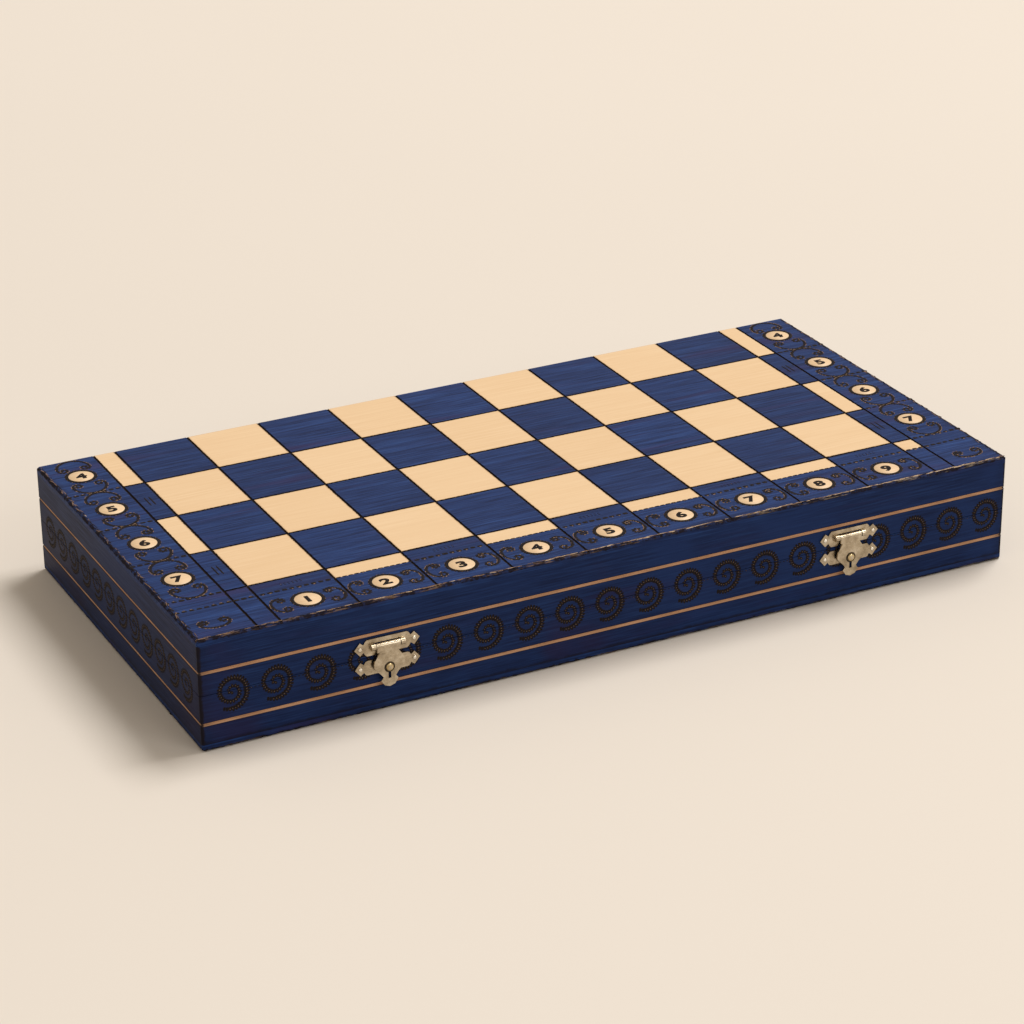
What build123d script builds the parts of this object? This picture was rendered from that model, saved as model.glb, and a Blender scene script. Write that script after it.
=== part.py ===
"""A folding wooden chess box: two equal trays hinged at the back, closed by two small hasps.

Each tray's outer face carries half of the board, so the box opens flat into the whole one.
Frame: +X along the box, +Y towards the hinges, +Z up. The origin is the middle of the underside.
"""

from build123d import *
import math
import os

# Overall sizes of the closed box
box_length = 400.0  # along X
box_depth = 200.0  # along Y, half of the open board
box_height = 52.0  # two equal trays
joint_height = box_height / 2
joint_gap = 0.3  # what daylight there is between the two rims

# Woodwork
panel_thickness = 3.0
wall_thickness = 8.0
corner_flat = 0.8  # the small flat along each upright corner
panel_edge_chamfer = 0.8
inner_rim_chamfer = 0.8

# Board pattern on each panel: files across, ranks per tray, a narrow strip and a wide border
files = 9
ranks_per_tray = 4
border_width = 38.0
strip_width = 10.5
line_width = 0.9
line_depth = 0.35
file_pitch = (box_length - 2 * border_width) / files
rank_pitch = (box_depth - border_width) / ranks_per_tray

# Bright lines turned into the sides, one on each tray
side_line_width = 1.3
side_line_depth = 0.6
lid_line_above_joint = 10.5
base_line_below_joint = 13.5

# Fitted trays that hold the men
insert_clearance = 0.3
insert_corner = 2.0
men_axis_drop = 9.0  # from the joint to the axes of the men in the lower tray
men_sink = 0.3  # how far each axis lies below its insert's face
men_clearance = 0.3
men_end_gap = 4.0  # from a man's foot to the wall
trough_floor = 1.2
trough_wall = 1.9

# Hinges
hinge_spacing = 230.0
hinge_width = 28.0
hinge_leaf_height = 9.0
hinge_leaf_thickness = 0.8
hinge_axis_outset = 0.3  # behind the back wall, so that the open walls don't rub
knuckle_radius = 1.7
hinge_pin_radius = 0.8
hinge_pin_clearance = 0.05
knuckle_gap = 0.2
middle_knuckle = 9.0
hinge_mortise_clearance = 0.15
knuckle_groove_clearance = 0.4
screw_spacing = 17.0
screw_drop = 5.6  # from the hinge axis down to the screws
screw_head_radius = 1.5
screw_shank_radius = 0.7
screw_length = 6.0
screw_slot_width = 0.4
screw_slot_depth = 0.3

# Latches: a plate with a window, a hasp on a wire pin, and a catch plate below the joint
latch_spacing = 230.0
plate_thickness = 0.8
plate_bar_half_length = 9.4
plate_neck_half_height = 1.8
plate_neck_reach = 11.0
plate_spike_reach = 12.6
plate_spike_half_height = 3.1
plate_half_length = 15.2
plate_cusp_reach = 10.2  # small points between the bar and the spearheads
plate_cusp_half_height = 3.1
upper_plate_height = 7.6
lower_plate_height = 6.8
plate_joint_margin = 1.1  # from the joint to each plate
window_half_length = 6.4
window_half_height = 1.6
latch_axis_rise = 0.2  # above the middle of the upper plate
latch_pin_radius = 0.6
latch_pin_clearance = 0.05
latch_pin_half_length = 7.8
hasp_knuckle_radius = 1.3
hasp_knuckle_half_length = 5.6
hasp_thickness = 0.7
hasp_bore_clearance = 0.1
hasp_clearance = 0.25  # between the hasp's knuckle and the bosses
hasp_back_gap = 0.2  # between the hasp's knuckle and the wood
boss_radius = 1.5
boss_length = 2.0
nail_head_radius = 0.95
nail_head_height = 0.55
nail_shank_radius = 0.45
nail_length = 6.0
nail_clearance = 0.05
dome_radius = 1.7
dome_height = 1.0
keyhole_slot_width = 1.3
keyhole_slot_length = 3.6
catch_radius = 1.7
catch_gap = 0.2

# Hasp outline, measured down from its pin
hasp_band_half_width = 5.4
hasp_band_drop = 2.6
hasp_neck_half_width = 4.3
hasp_shoulder_half_width = 6.6
hasp_shoulder_drop = 6.2
hasp_shield_half_width = 7.0
hasp_shield_drop = 9.6
hasp_waist_half_width = 2.9
hasp_waist_drop = 14.8
hasp_tail_half_width = 4.0
hasp_tail_drop = 16.2
hasp_lobe_half_width = 2.4
hasp_lobe_drop = 18.6
hasp_length = 19.4
keyhole_drop = 10.2

# Chessmen: each has a foot, a tapering stem, a collar and its own head
turning_sides = 12  # of each turned form
fastener_sides = 8
foot_height = 4.0
foot_slope = 2.2
foot_waist_share = 0.72  # of the foot's radius, where the stem begins
collar_height = 2.4
collar_share = 1.6  # of the neck's radius
ball_steps = 4
ball_top_turn = 0.86  # of a half turn, where the ball's small flat begins
pawn_height = 43.0
pawn_foot_share = 0.8  # of the king's foot, and so on
pawn_neck_radius = 4.0
pawn_head_radius = 6.2
rook_height = 47.0
rook_foot_share = 0.92
rook_neck_radius = 5.8
rook_head_radius = 8.8
rook_head_height = 12.0
battlement_depth = 3.6
battlement_gap = 3.0
battlement_wall = 2.4
knight_height = 55.0
knight_foot_share = 0.92
knight_neck_radius = 7.0
knight_head_thickness = 10.0
bishop_height = 62.0
bishop_foot_share = 0.9
bishop_neck_radius = 4.6
bishop_head_radius = 6.8
bishop_head_height = 17.0
bishop_slot_width = 1.6
queen_height = 72.0
queen_foot_share = 0.98
queen_neck_radius = 5.0
crown_height = 12.0
queen_rim_radius = 9.0
coronet_points = 6
coronet_depth = 2.6
king_height = 82.0
king_neck_radius = 5.4
king_rim_radius = 9.0
crown_dome = 3.0
finial_radius = 2.4
cross_height = 9.0
cross_span = 7.6
cross_thickness = 2.4

# Channel between the two rows of men, to lift them out by
channel_depth = 10.0
channel_under_pawns = 8.0  # how far it reaches under the pawns' heads
channel_side_margin = 2.5
channel_back = 2.0

front_face = -box_depth / 2
back_face = box_depth / 2
upper_plate_centre = joint_height + plate_joint_margin + upper_plate_height / 2
lower_plate_centre = joint_height - plate_joint_margin - lower_plate_height / 2
latch_axis_height = upper_plate_centre + latch_axis_rise
latch_axis_y = front_face - hasp_knuckle_radius - hasp_back_gap
hasp_front_y = latch_axis_y - hasp_knuckle_radius
hasp_back_y = hasp_front_y + hasp_thickness
hinge_axis_y = back_face + hinge_axis_outset
men_axis_height = joint_height - men_axis_drop
insert_thickness = men_axis_height + men_sink - panel_thickness
king_foot_radius = men_axis_height - panel_thickness - trough_floor - men_clearance
pawn_foot_radius = king_foot_radius * pawn_foot_share
rook_foot_radius = king_foot_radius * rook_foot_share
knight_foot_radius = king_foot_radius * knight_foot_share
bishop_foot_radius = king_foot_radius * bishop_foot_share
queen_foot_radius = king_foot_radius * queen_foot_share
lid_rim = joint_height + joint_gap / 2
base_rim = joint_height - joint_gap / 2
hinge_places = (-hinge_spacing / 2, hinge_spacing / 2)
latch_places = (-latch_spacing / 2, latch_spacing / 2)
side_names = ("left", "right")
inner_length = box_length - 2 * wall_thickness
inner_depth = box_depth - 2 * wall_thickness

os.makedirs("parts", exist_ok=True)


def save(part, name):
    """Labels a finished piece and writes it under its own name."""
    part.label = name
    export_step(part, f"parts/{name}.step")


# Turned forms, upright about Z


def turned(outline, sides=turning_sides):
    """A turned form through pairs of radius and height, with a few flat sides in place of its round."""
    turns = [2 * math.pi * i / sides for i in range(sides)]
    rings = [
        [Vector(radius * math.cos(turn), radius * math.sin(turn), height) for turn in turns]
        for radius, height in outline
    ]
    flats = [Face(Wire.make_polygon(ring)) for ring in (rings[0], rings[-1])]
    for low, high in zip(rings, rings[1:]):
        for i in range(sides):
            corners = [low[i - 1], low[i], high[i], high[i - 1]]
            flats.append(Face(Wire.make_polygon(corners)))
    with BuildPart() as form:
        add(Solid(Shell(flats)))
    return form.part


def along_x(x, y, z):
    """A place whose own upright axis runs along X."""
    return Location((x, y, z), (0, 90, 0))


def along_y(x, y, z):
    """A place whose own upright axis runs along Y, towards the back."""
    return Location((x, y, z), (-90, 0, 0))


def towards_front(x, y, z):
    """A place whose own upright axis runs along Y, towards the front."""
    return Location((x, y, z), (90, 0, 0))


# Board panels


def file_lines():
    """Where the lines between the files run, with one more outside each narrow strip."""
    field = [(i - files / 2) * file_pitch for i in range(files + 1)]
    outer = files / 2 * file_pitch + strip_width
    return [-outer, *field, outer]


def rank_lines():
    """Where the lines between the ranks run, from the front border to the last before the fold."""
    return [front_face + border_width + i * rank_pitch for i in range(ranks_per_tray)]


def board_panel(outer_height, inward):
    """One half of the board: a thin panel with its squares marked off by cut lines."""
    inner_height = outer_height + inward * panel_thickness
    middle_height = (outer_height + inner_height) / 2
    line_length = box_length - 2 * (border_width - strip_width)
    with BuildPart() as panel:
        with Locations((0, 0, middle_height)):
            Box(box_length, box_depth, panel_thickness)
        chamfer(panel.edges().filter_by(Axis.Z), corner_flat)
        outer_side = panel.faces().sort_by(Axis.Z)[-1 if inward < 0 else 0]
        chamfer(outer_side.edges(), panel_edge_chamfer)
        with BuildSketch(Plane.XY.offset(outer_height)):
            with Locations(*[(x, 0) for x in file_lines()]):
                Rectangle(line_width, box_depth)
            with Locations(*[(0, y) for y in rank_lines()]):
                Rectangle(line_length, line_width)
        extrude(amount=inward * line_depth, mode=Mode.SUBTRACT)
    return panel.part


save(board_panel(box_height, -1), "lid_board_panel")
save(board_panel(0, 1), "base_board_panel")

# Walls, mitred at the corners and glued to the panels


def wall_blank(along, low, high, side_line):
    """A wall of the given length along X with its outer face at the front, and a V line turned in it."""
    half = along / 2
    outer = front_face
    inner = front_face + wall_thickness
    with BuildPart() as wall:
        with BuildSketch(Plane.XY.offset(low)):
            with BuildLine():
                Polyline(
                    (-half + corner_flat, outer),
                    (half - corner_flat, outer),
                    (half - corner_flat / 2, outer + corner_flat / 2),
                    (half - wall_thickness, inner),
                    (-half + wall_thickness, inner),
                    (-half + corner_flat / 2, outer + corner_flat / 2),
                    close=True,
                )
            make_face()
        extrude(amount=high - low)
        with BuildSketch(Plane.YZ.offset(-half)):
            with BuildLine():
                Polyline(
                    (outer, side_line - side_line_width / 2),
                    (outer + side_line_depth, side_line),
                    (outer, side_line + side_line_width / 2),
                    close=True,
                )
            make_face()
        extrude(amount=along, mode=Mode.SUBTRACT)
        rim = wall.faces().filter_by(Plane.XY).sort_by(lambda face: abs(face.center().Z - joint_height))[0]
        inner_rim = rim.edges().filter_by(Axis.X).sort_by(Axis.Y)[-1]
        chamfer(inner_rim, inner_rim_chamfer)
    return wall.part


def tray_walls(low, high, side_line):
    """The four walls of a tray, by where they stand."""
    long_wall = wall_blank(box_length, low, high, side_line)
    short_wall = wall_blank(box_depth, low, high, side_line)
    to_end = box_length / 2 - box_depth / 2
    return {
        "front": long_wall,
        "back": long_wall.rotate(Axis.Z, 180),
        "right": Pos(to_end, 0, 0) * short_wall.rotate(Axis.Z, 90),
        "left": Pos(-to_end, 0, 0) * short_wall.rotate(Axis.Z, -90),
    }


def screw(room):
    """A countersunk screw with its tip at the origin, or with room around it, the hole that it leaves."""
    shank = screw_shank_radius + room
    head = screw_head_radius + room
    taper_end = screw_length - hinge_leaf_thickness
    return turned([(shank, 0), (shank, taper_end), (head, screw_length)], fastener_sides)


def hinge_mortise(wall, rim, outward):
    """Lets a hinge's leaf and knuckles into a back wall. outward is the way from the rim to the leaf."""
    leaf_edge = rim + outward * (hinge_leaf_height + hinge_mortise_clearance)
    recess = hinge_leaf_thickness + hinge_mortise_clearance
    with BuildPart() as mortised:
        add(wall)
        for x in hinge_places:
            with Locations((x, back_face - recess / 2, (rim + leaf_edge) / 2)):
                mortise_width = hinge_width + 2 * hinge_mortise_clearance
                Box(mortise_width, recess, abs(leaf_edge - rim), mode=Mode.SUBTRACT)
            with Locations(along_x(x, hinge_axis_y, joint_height)):
                Cylinder(
                    knuckle_radius + knuckle_groove_clearance,
                    hinge_width + 2 * hinge_mortise_clearance,
                    mode=Mode.SUBTRACT,
                )
            for shift in (-screw_spacing / 2, screw_spacing / 2):
                tip_y = back_face - screw_length
                with Locations(along_y(x + shift, tip_y, joint_height + outward * screw_drop)):
                    add(screw(nail_clearance), mode=Mode.SUBTRACT)
    return mortised.part


def nail_shank(room):
    """A nail's shank with its tip at the origin, or the hole that it leaves, as far as its plate's front."""
    shank = nail_shank_radius + room
    return turned([(shank, 0), (shank, nail_length + plate_thickness)], fastener_sides)


def nail_holes(wall, height):
    """Drills the front wall for the nails of both latch plates."""
    with BuildPart() as drilled:
        add(wall)
        for x in latch_places:
            for shift in (-plate_spike_reach, plate_spike_reach):
                with Locations(towards_front(x + shift, front_face + nail_length, height)):
                    add(nail_shank(nail_clearance), mode=Mode.SUBTRACT)
    return drilled.part


lid_walls = tray_walls(lid_rim, box_height - panel_thickness, joint_height + lid_line_above_joint)
lid_walls["back"] = hinge_mortise(lid_walls["back"], lid_rim, 1)
lid_walls["front"] = nail_holes(lid_walls["front"], upper_plate_centre)
base_walls = tray_walls(panel_thickness, base_rim, joint_height - base_line_below_joint)
base_walls["back"] = hinge_mortise(base_walls["back"], base_rim, -1)
base_walls["front"] = nail_holes(base_walls["front"], lower_plate_centre)
for side in ("front", "back", "left", "right"):
    save(lid_walls[side], f"lid_{side}_wall")
    save(base_walls[side], f"base_{side}_wall")


# Chessmen, turned upright about Z before they are laid down


def stem(foot_radius, neck_radius, shoulder_height):
    """The outline of a man up to the top of its collar, as pairs of radius and height."""
    return [
        (foot_radius, 0),
        (foot_radius, foot_height),
        (foot_radius * foot_waist_share, foot_height + foot_slope),
        (neck_radius, shoulder_height - collar_height),
        (neck_radius * collar_share, shoulder_height - collar_height / 2),
        (neck_radius, shoulder_height),
    ]


def ball(top_height, radius, start_height):
    """The outline of a turned ball from where it leaves the neck to the small flat on its top."""
    centre = top_height - radius
    start = math.acos((centre - start_height) / radius)
    end = ball_top_turn * math.pi
    turns = [start + (end - start) * (i + 1) / ball_steps for i in range(ball_steps)]
    return [(radius * math.sin(turn), centre - radius * math.cos(turn)) for turn in turns]


def pawn():
    """A small man with a ball for its head."""
    shoulder = pawn_height - 2 * pawn_head_radius + 1
    head = ball(pawn_height, pawn_head_radius, shoulder)
    return turned(stem(pawn_foot_radius, pawn_neck_radius, shoulder) + head)


def rook():
    """A tower with a hollow top and four merlons."""
    shoulder = rook_height - rook_head_height
    head = [
        (rook_head_radius, shoulder + rook_head_height / 4),
        (rook_head_radius, rook_height),
    ]
    hollow = rook_head_radius - battlement_wall
    with BuildPart() as tower:
        add(turned(stem(rook_foot_radius, rook_neck_radius, shoulder) + head))
        with Locations((0, 0, rook_height - battlement_depth)):
            add(turned([(hollow, 0), (hollow, battlement_depth)]), mode=Mode.SUBTRACT)
        with Locations((0, 0, rook_height - battlement_depth / 2)):
            Box(2 * rook_foot_radius, battlement_gap, battlement_depth, mode=Mode.SUBTRACT)
            Box(battlement_gap, 2 * rook_foot_radius, battlement_depth, mode=Mode.SUBTRACT)
    return tower.part


def bishop():
    """A man with a pointed mitre, a slanting cut in it and a bead on top."""
    shoulder = bishop_height - bishop_head_height - 2 * finial_radius + 1
    tip = bishop_height - 2 * finial_radius + 0.4
    head = [
        (bishop_head_radius, shoulder + bishop_head_height * 0.3),
        (bishop_head_radius * 0.8, shoulder + bishop_head_height * 0.62),
        (finial_radius * 0.6, tip),
        *ball(bishop_height, finial_radius, tip),
    ]
    with BuildPart() as mitre:
        add(turned(stem(bishop_foot_radius, bishop_neck_radius, shoulder) + head))
        with Locations(Location((bishop_head_radius, 0, shoulder + bishop_head_height * 0.62), (0, -35, 0))):
            Box(bishop_head_radius * 1.5, 2 * bishop_head_radius, bishop_slot_width, mode=Mode.SUBTRACT)
    return mitre.part


def queen():
    """A tall man with a notched coronet and a bead."""
    rim = queen_height - crown_dome - 2 * finial_radius + 1
    shoulder = rim - crown_height
    head = [
        (queen_rim_radius, rim),
        (queen_rim_radius * 0.72, rim - crown_dome / 3),
        (finial_radius * 0.7, rim + crown_dome),
        *ball(queen_height, finial_radius, rim + crown_dome),
    ]
    with BuildPart() as crowned:
        add(turned(stem(queen_foot_radius, queen_neck_radius, shoulder) + head))
        with PolarLocations(queen_rim_radius, coronet_points):
            with Locations((0, 0, rim)):
                notch_length = queen_rim_radius * 0.5
                Box(notch_length, coronet_depth, coronet_depth, rotation=(45, 0, 0), mode=Mode.SUBTRACT)
    return crowned.part


def king():
    """The tallest man, with a domed crown and a cross."""
    rim = king_height - crown_dome - cross_height
    shoulder = rim - crown_height
    head = [
        (king_rim_radius, rim),
        (king_rim_radius * 0.72, rim + crown_dome * 0.6),
        (cross_thickness, rim + crown_dome),
    ]
    cross_middle = rim + crown_dome + cross_height * 0.58
    with BuildPart() as crowned:
        add(turned(stem(king_foot_radius, king_neck_radius, shoulder) + head))
        with Locations((0, 0, rim + crown_dome / 2 + cross_height / 2 + crown_dome / 2)):
            Box(cross_thickness, cross_thickness, cross_height)
        with Locations((0, 0, cross_middle)):
            Box(cross_span, cross_thickness, cross_thickness)
    return crowned.part


def knight():
    """A horse's head and neck cut from a board, on a turned foot."""
    shoulder = foot_height + foot_slope + collar_height + 4
    tall = knight_height - shoulder
    wide = knight_foot_radius * 1.6
    with BuildPart() as horse:
        add(turned(stem(knight_foot_radius, knight_neck_radius, shoulder)))
        with BuildSketch(Plane.XZ.offset(-knight_head_thickness / 2)):
            with BuildLine():
                crest = Spline(
                    (-0.36 * wide, shoulder - 1),
                    (-0.42 * wide, shoulder + 0.5 * tall),
                    (-0.12 * wide, shoulder + 0.93 * tall),
                )
                ear = Line(crest @ 1, (-0.02 * wide, shoulder + tall))
                brow = Line(ear @ 1, (0.12 * wide, shoulder + 0.84 * tall))
                nose = Line(brow @ 1, (0.5 * wide, shoulder + 0.54 * tall))
                lip = Line(nose @ 1, (0.44 * wide, shoulder + 0.4 * tall))
                chin = Line(lip @ 1, (0.24 * wide, shoulder + 0.42 * tall))
                jaw = Line(chin @ 1, (0.06 * wide, shoulder + 0.5 * tall))
                chest = ThreePointArc(
                    jaw @ 1, (0.24 * wide, shoulder + 0.24 * tall), (0.34 * wide, shoulder - 1)
                )
                Line(chest @ 1, crest @ 0)
            make_face()
        extrude(amount=knight_head_thickness)
    return horse.part


back_rank = (rook, knight, bishop, queen, king, bishop, knight, rook)
foot_line = inner_depth / 2 - men_end_gap
side_room = insert_clearance + trough_wall + men_clearance + king_foot_radius
men_pitch = (inner_length - 2 * side_room) / (len(back_rank) - 0.5)
men_stagger = men_pitch / 2  # the men above lie between the men below


def man_across(file_number, stagger):
    """Where along the box a man of the given file lies."""
    return (file_number - (len(back_rank) - 1) / 2) * men_pitch + stagger


def lay_down(man, across, height, pawns_row):
    """Lays an upright man along Y with its foot to the front wall if it is a pawn, or else the back wall."""
    if pawns_row:
        return Pos(across, -foot_line, height) * man.rotate(Axis.X, -90)
    return Pos(across, foot_line, height) * man.rotate(Axis.X, 90)


def place_men(maker, height, stagger, colour, group):
    """Lays all the men of one kind in their troughs and saves them as one group."""
    upright = maker()
    rank = (maker,) * len(back_rank) if maker is pawn else back_rank
    with BuildPart() as laid:
        for i, kind in enumerate(rank):
            if kind is maker:
                add(lay_down(upright, man_across(i, stagger), height, maker is pawn))
    save(laid.part, f"{colour}_{group}")


men_groups = (
    (king, "king"), (queen, "queen"), (bishop, "bishops"),
    (knight, "knights"), (rook, "rooks"), (pawn, "pawns"),
)
lid_men_height = box_height - men_axis_height
for kind, group in men_groups:
    place_men(kind, men_axis_height, -men_stagger / 2, "light", group)
    place_men(kind, lid_men_height, men_stagger / 2, "dark", group)

# Fitted trays under and over the men

trough_sizes = {
    pawn: (pawn_height, pawn_foot_radius, pawn_head_radius),
    rook: (rook_height, rook_foot_radius, rook_neck_radius * collar_share),
    knight: (knight_height, knight_foot_radius, knight_foot_radius * 0.86),
    bishop: (bishop_height, bishop_foot_radius, bishop_head_radius),
    queen: (queen_height, queen_foot_radius, queen_rim_radius),
    king: (king_height, king_foot_radius, king_rim_radius),
}


def trough(kind):
    """The tapered room that a man of this kind needs, upright, foot down."""
    length, foot_radius, head_radius = trough_sizes[kind]
    wide = foot_radius + men_clearance
    return turned(
        [(wide, -men_clearance), (wide, foot_height), (head_radius + men_clearance, length + men_clearance)]
    )


def insert(panel_side, inward, axis_height, stagger):
    """A soft block with a trough for each man and a channel between the rows."""
    top = panel_side + inward * insert_thickness
    channel_front = pawn_height - foot_line - channel_under_pawns
    rooms = {kind: trough(kind) for kind in trough_sizes}
    with BuildPart() as block:
        with Locations((0, 0, (panel_side + top) / 2)):
            Box(inner_length - 2 * insert_clearance, inner_depth - 2 * insert_clearance, insert_thickness)
        chamfer(block.edges().filter_by(Axis.Z), insert_corner)
        with Locations((0, (channel_front + channel_back) / 2, top - inward * channel_depth / 2)):
            Box(
                inner_length - 2 * insert_clearance - 2 * channel_side_margin,
                channel_back - channel_front,
                channel_depth,
                mode=Mode.SUBTRACT,
            )
        for i, kind in enumerate(back_rank):
            across = man_across(i, stagger)
            add(lay_down(rooms[kind], across, axis_height, False), mode=Mode.SUBTRACT)
            add(lay_down(rooms[pawn], across, axis_height, True), mode=Mode.SUBTRACT)
    return block.part


save(insert(panel_thickness, 1, men_axis_height, -men_stagger / 2), "base_insert")
save(insert(box_height - panel_thickness, -1, lid_men_height, men_stagger / 2), "lid_insert")

# Hinges: two leaves let into the back walls, knuckled together on a pin


def hinge_leaf(x, outward, knuckles):
    """A leaf with its knuckles, each given as its middle and its length along the pin."""
    clear_of_knuckles = knuckle_radius + knuckle_groove_clearance
    leaf_middle = joint_height + outward * (clear_of_knuckles + hinge_leaf_height) / 2
    leaf_y = back_face - hinge_leaf_thickness / 2
    with BuildPart() as leaf:
        with Locations((x, leaf_y, leaf_middle)):
            Box(hinge_width, hinge_leaf_thickness, hinge_leaf_height - clear_of_knuckles)
        for middle, length in knuckles:
            with Locations((x + middle, leaf_y, joint_height + outward * clear_of_knuckles / 2)):
                Box(length, hinge_leaf_thickness, clear_of_knuckles)
            with Locations(along_x(x + middle, hinge_axis_y, joint_height)):
                Cylinder(knuckle_radius, length)
        with Locations(along_x(x, hinge_axis_y, joint_height)):
            Cylinder(hinge_pin_radius + hinge_pin_clearance, hinge_width, mode=Mode.SUBTRACT)
        for shift in (-screw_spacing / 2, screw_spacing / 2):
            tip_y = back_face - screw_length
            with Locations(along_y(x + shift, tip_y, joint_height + outward * screw_drop)):
                add(screw(nail_clearance), mode=Mode.SUBTRACT)
    return leaf.part


outer_knuckle = (hinge_width - middle_knuckle) / 2 - knuckle_gap
outer_knuckle_middle = (hinge_width - outer_knuckle) / 2
for side, x in zip(side_names, hinge_places):
    save(hinge_leaf(x, 1, [(0, middle_knuckle)]), f"{side}_hinge_lid_leaf")
    outer_knuckles = [(-outer_knuckle_middle, outer_knuckle), (outer_knuckle_middle, outer_knuckle)]
    save(hinge_leaf(x, -1, outer_knuckles), f"{side}_hinge_base_leaf")
    with BuildPart() as pin:
        with Locations(along_x(x, hinge_axis_y, joint_height)):
            Cylinder(hinge_pin_radius, hinge_width)
    save(pin.part, f"{side}_hinge_pin")


def hinge_screws(outward):
    """The four slotted screws that hold the leaves on one tray."""
    with BuildPart() as screws:
        for x in hinge_places:
            for shift in (-screw_spacing / 2, screw_spacing / 2):
                height = joint_height + outward * screw_drop
                with Locations(along_y(x + shift, back_face - screw_length, height)):
                    add(screw(0))
                with Locations((x + shift, back_face, height)):
                    Box(2 * screw_head_radius, screw_slot_depth, screw_slot_width, mode=Mode.SUBTRACT)
    return screws.part


save(hinge_screws(1), "lid_hinge_screws")
save(hinge_screws(-1), "base_hinge_screws")

# Latches


def latch_plate(x, height, bar_height):
    """A plate with a pointed leaf at each end, nailed to the front wall."""
    half_bar = bar_height / 2
    with BuildPart() as plate:
        with BuildSketch(Plane.XZ.offset(-front_face)):
            with Locations((x, height)):
                Rectangle(2 * plate_bar_half_length, bar_height)
                for turn in (0, 180):
                    with Locations(Location((0, 0, 0), (0, 0, turn))):
                        Polygon(
                            (plate_bar_half_length, half_bar),
                            (plate_cusp_reach, plate_cusp_half_height),
                            (plate_neck_reach, plate_neck_half_height),
                            (plate_spike_reach, plate_spike_half_height),
                            (plate_half_length, 0),
                            (plate_spike_reach, -plate_spike_half_height),
                            (plate_neck_reach, -plate_neck_half_height),
                            (plate_cusp_reach, -plate_cusp_half_height),
                            (plate_bar_half_length, -half_bar),
                            align=None,
                        )
        extrude(amount=plate_thickness)
        for shift in (-plate_spike_reach, plate_spike_reach):
            with Locations(towards_front(x + shift, front_face + nail_length, height)):
                add(nail_shank(nail_clearance), mode=Mode.SUBTRACT)
    return plate.part


def upper_plate(x):
    """The plate on the lid, with a window and two bosses for the hasp's pin."""
    boss_middle = hasp_knuckle_half_length + hasp_clearance + boss_length / 2
    with BuildPart() as plate:
        add(latch_plate(x, upper_plate_centre, upper_plate_height))
        with Locations((x, front_face, latch_axis_height)):
            Box(2 * window_half_length, 4 * plate_thickness, 2 * window_half_height, mode=Mode.SUBTRACT)
        for shift in (-boss_middle, boss_middle):
            with Locations(along_x(x + shift, latch_axis_y, latch_axis_height)):
                Cylinder(boss_radius, boss_length)
        with Locations(along_x(x, latch_axis_y, latch_axis_height)):
            Cylinder(latch_pin_radius + latch_pin_clearance, 4 * window_half_length, mode=Mode.SUBTRACT)
    return plate.part


def lower_plate(x):
    """The plate on the base, with the round catch that the hasp closes over."""
    with BuildPart() as plate:
        add(latch_plate(x, lower_plate_centre, lower_plate_height))
        catch_end = hasp_back_y + catch_gap
        catch_length = front_face - plate_thickness / 2 - catch_end
        with Locations(along_y(x, catch_end + catch_length / 2, latch_axis_height - keyhole_drop)):
            Cylinder(catch_radius, catch_length)
        chamfer(plate.faces().sort_by(Axis.Y)[0].edges(), catch_radius / 3)
    return plate.part


def hasp(x):
    """A shield that hangs from its knuckle, with a dome pressed over the catch and a slot below it."""
    keyhole_height = latch_axis_height - keyhole_drop
    with BuildPart() as swinging:
        axis_point = (x, hasp_back_y, latch_axis_height)
        with BuildSketch(Plane(origin=axis_point, x_dir=(1, 0, 0), z_dir=(0, -1, 0))):
            with BuildLine():
                for way in (-1, 1):
                    band = Polyline(
                        (0, 0),
                        (way * hasp_band_half_width, 0),
                        (way * hasp_band_half_width, -hasp_band_drop),
                        (way * hasp_neck_half_width, -hasp_band_drop),
                    )
                    shoulder = Line(band @ 1, (way * hasp_shoulder_half_width, -hasp_shoulder_drop))
                    side = Spline(
                        shoulder @ 1,
                        (way * hasp_shield_half_width, -hasp_shield_drop),
                        (way * hasp_waist_half_width, -hasp_waist_drop),
                        tangents=((way * 0.3, -1), (-way * 0.5, -1)),
                    )
                    tail = Line(side @ 1, (way * hasp_tail_half_width, -hasp_tail_drop))
                    lobe = Line(tail @ 1, (way * hasp_lobe_half_width, -hasp_lobe_drop))
                    Line(lobe @ 1, (0, -hasp_length))
            make_face()
        extrude(amount=hasp_thickness)
        with Locations(along_x(x, latch_axis_y, latch_axis_height)):
            Cylinder(hasp_knuckle_radius, 2 * hasp_knuckle_half_length)
            bore_radius = latch_pin_radius + hasp_bore_clearance
            Cylinder(bore_radius, 4 * hasp_knuckle_half_length, mode=Mode.SUBTRACT)
        with Locations(towards_front(x, hasp_front_y - dome_height / 2, keyhole_height)):
            Cone(dome_radius, dome_radius / 2, dome_height)
        with Locations((x, hasp_back_y, keyhole_height - dome_radius - keyhole_slot_length / 2)):
            Box(keyhole_slot_width, 4 * hasp_thickness, keyhole_slot_length, mode=Mode.SUBTRACT)
    return swinging.part


def latch_nails(height):
    """The domed nails of the plates on one tray."""
    under_head = nail_length + plate_thickness
    head = [
        (nail_shank_radius, under_head),
        (nail_head_radius, under_head + nail_clearance),
        (nail_head_radius * 0.6, under_head + nail_head_height),
    ]
    with BuildPart() as nails:
        for x in latch_places:
            for shift in (-plate_spike_reach, plate_spike_reach):
                with Locations(towards_front(x + shift, front_face + nail_length, height)):
                    add(turned([(nail_shank_radius, 0), *head], fastener_sides))
    return nails.part


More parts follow.
